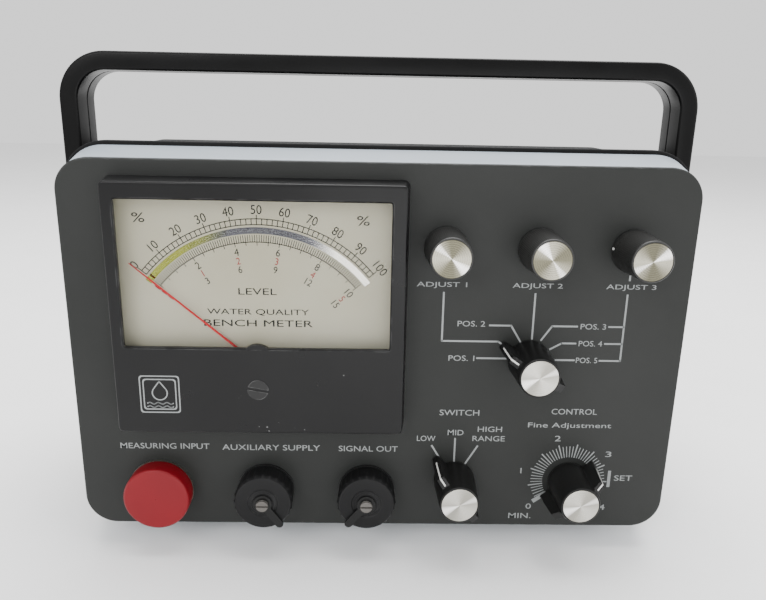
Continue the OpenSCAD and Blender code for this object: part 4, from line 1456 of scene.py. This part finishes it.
@dataclass
class PanelPrint:
    """White legends, leader lines and the round scale on the panel."""

    face: Face
    line: float = 0.75

    WORDS = (
        Word("ADJUST 1", 25.2, 31.0, 20.5), Word("ADJUST 2", 64.2, 31.0, 20.5),
        Word("ADJUST 3", 102.5, 31.0, 20.5),
        Word("POS. 1", 34.6, -0.3, 10.8, 2.4), Word("POS. 2", 38.0, 14.8, 11.4, 2.4),
        Word("POS. 3", 88.6, 14.2, 10.6, 2.4),
        Word("POS. 4", 88.1, 6.8, 9.8, 2.4), Word("POS. 5", 87.2, -0.6, 9.0, 2.4),
        Word("SWITCH", 35.0, -25.0, 17.0),
        Word("LOW", 21.2, -37.2, 8.0, 2.5), Word("MID", 33.8, -34.3, 6.8, 2.5),
        Word("HIGH", 48.5, -32.6, 10.5, 2.5),
        Word("RANGE", 48.2, -37.0, 14.0, 2.5), Word("CONTROL", 84.2, -24.0, 19.5),
        Word("2", 78.2, -36.6, 2.6, 2.6),
        Word("Fine Adjustment", 82.8, -30.7, 36.0, 3.0), Word("3", 101.0, -43.9, 2.6, 2.6),
        Word("1", 63.3, -52.2, 0.5, 2.6), Word("0", 67.8, -69.7, 2.4, 2.6),
        Word("4", 100.6, -69.9, 2.8, 2.6),
        Word("MIN.", 64.2, -74.5, 10.0), Word("SET", 108.7, -55.4, 8.0),
        Word("MEASURING INPUT", -91.0, -42.0, 38.0),
        Word("AUXILIARY SUPPLY", -45.5, -42.3, 42.0), Word("SIGNAL OUT", -3.7, -42.4, 25.5),
    )
    LINES = (
        ((26.1, 28.0), (26.1, 7.2), (49.5, 7.2), (54.5, 3.9)), ((63.5, 28.0), (63.5, 8.5)),
        ((101.5, 36.0), (101.5, 34.0)),
        ((101.3, 28.0), (101.3, -0.7), (92.5, -0.7)), ((95.0, 14.2), (101.3, 14.2)),
        ((82.0, 14.2), (71.5, 14.2), (67.3, 8.0)),
        ((94.0, 6.8), (101.3, 6.8)), ((82.0, 6.8), (76.0, 6.8), (71.3, 4.1)), ((82.0, -0.6), (74.0, -0.6)),
        ((45.5, 14.2), (54.5, 14.2), (58.8, 7.2)), ((41.0, -0.2), (54.5, -0.2)),
        ((23.7, -40.5), (28.8, -49.0)),
        ((33.7, -37.0), (33.7, -48.0)), ((43.6, -40.5), (38.6, -49.0)),
    )

    def build(self) -> None:
        """Print the legends, the leader lines and the round scale."""
        printer = Printer(self.face, weight=0.002)
        for word in self.WORDS:
            printer.word(word)
        for path in self.LINES:
            printer.line(path, self.line)
        centre = self.face.middle("salinity_shaft")
        zero, per_part, full = 216.0, 5.45, 40
        for part in range(1, full + 1):
            long = part % 5 == 0
            printer.ray(centre, zero - per_part * part, 11.2, 17.3 if long else 16.2,
                        0.55 if long else 0.38)
        printer.ray(centre, zero, 11.2, 17.6, 1.9)
        printer.line(((102.4, -52.2), (102.4, -59.5)), 1.3)
        add_piece("panel_legends", printer.shape, ROOT, WHITE_INK)


# ---------------------------------------------------------------- studio


@dataclass
class Studio:
    """Camera, floor and soft lights.

    Attributes:
        face: The panel's face.
        spot: The camera's place from the panel's middle: across, up and out in millimetres.
        yaw: Turn to the right in degrees.
        pitch: Tilt down in degrees.
        roll: Roll in degrees.
        lens: Focal length in millimetres.
    """

    face: Face
    spot: tuple[float, float, float] = (-4.24, 100.04, 274.23)
    yaw: float = 1.18
    pitch: float = 15.42
    roll: float = 1.14
    lens: float = 32.85

    def camera(self) -> None:
        """Place the camera."""
        yaw, pitch, roll = (math.radians(a) for a in (self.yaw, self.pitch, self.roll))
        ahead = Vector((math.sin(yaw) * math.cos(pitch), math.cos(yaw) * math.cos(pitch), -math.sin(pitch)))
        level = Vector((math.cos(yaw), -math.sin(yaw), 0))
        rise = level.cross(ahead)
        right = level * math.cos(roll) + rise * math.sin(roll)
        up = rise * math.cos(roll) - level * math.sin(roll)
        lens = bpy.data.cameras.new("camera")
        lens.lens = self.lens
        lens.sensor_width = 36.0
        lens.clip_start = 0.01
        camera = bpy.data.objects.new("camera", lens)
        bpy.context.scene.collection.objects.link(camera)
        place = self.face.point(*self.spot)
        camera.matrix_world = Matrix.Translation(place) @ Matrix((right, up, -ahead)).transposed().to_4x4()
        bpy.context.scene.camera = camera

    def floor(self) -> None:
        """Lay a pale floor under the feet."""
        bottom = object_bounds()[0][2]
        shape = Shape()
        size = 3.0
        ids = shape.ring([Vector((x * size, y * size, bottom - 0.0002))
                          for x, y in ((-1, -1), (1, -1), (1, 1), (-1, 1))])
        shape.faces.append(tuple(ids))
        floor = bpy.data.objects.new("floor", shape.mesh("floor"))
        bpy.context.scene.collection.objects.link(floor)
        floor.data.materials.append(FLOOR.material())
        floor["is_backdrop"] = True

    def lamp(self, name: str, place: Sequence[float], aim: Sequence[float], size: float,
             watts: float) -> None:
        """Hang a square soft light.

        Args:
            name: The light's name.
            place: Its place in metres.
            aim: The place that it faces.
            size: Its side in metres.
            watts: Its power.
        """
        light = bpy.data.lights.new(name, "AREA")
        light.size = size
        light.energy = watts
        lamp = bpy.data.objects.new(name, light)
        bpy.context.scene.collection.objects.link(lamp)
        lamp.location = place
        lamp.rotation_euler = (Vector(aim) - Vector(place)).to_track_quat("-Z", "Y").to_euler()

    def light(self) -> None:
        """Light the instrument softly from above, the front and the left."""
        aim = (0, 0, 0.1)
        self.lamp("overhead", (0.1, 0.25, 1.3), aim, 1.2, 34)
        self.lamp("front", (-0.7, -1.3, 0.9), aim, 0.7, 12)
        self.lamp("side", (1.2, -0.6, 0.5), aim, 0.8, 6)
        self.lamp("low", (0.1, -0.5, 0.03), (0, -0.05, 0.02), 0.35, 0.9)
        world = bpy.data.worlds.new("studio")
        bpy.context.scene.world = world
        world.use_nodes = True
        world.node_tree.nodes["Background"].inputs[0].default_value = (1, 1, 1, 1)
        world.node_tree.nodes["Background"].inputs[1].default_value = 1.25


def dress_node(node: str, finish: Finish) -> None:
    """Give a CAD node that stays visible its finish."""
    made = frame["nodes"][node].data
    made.materials.clear()
    made.materials.append(finish.material())


def main() -> None:
    """Build the instrument in order."""
    logging.basicConfig(level=logging.INFO, format="%(relativeCreated)6d ms  %(message)s")
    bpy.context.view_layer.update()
    face = Face.of_panel()
    studio = Studio(face)
    studio.camera()
    for node, finish in CAD_FINISHES.items():
        dress_node(node, finish)
    CaseShell(face).build()
    CarryHandle(face).build()
    PanelMeter(face).build()
    PanelPrint(face).build()
    # Upper discs keep the dimmer painted highlight, each with its own turn of the fans.
    for name, index, fan in (("red_line", -60, 0.4), ("zero", -80, 2.4), ("calibrate", 172, -0.3)):
        Knob(face, name, index=index, fan=fan).build()
    # Lower discs take a brighter copy of the same painted highlight and shade.
    for name, index in (("selector", 150), ("stirrer", 129), ("salinity", 39)):
        PointerKnob(face, name, index=index, bright=(0.5, 0.485, 0.44), shade=(0.3, 0.29, 0.255),
                    fan=1.6).build()
    PushCap(face).build()
    ScrewCap(face, "charger", -53).build()
    ScrewCap(face, "recorder", 230).build()
    studio.floor()
    studio.light()


if __name__ == "__main__":
    main()
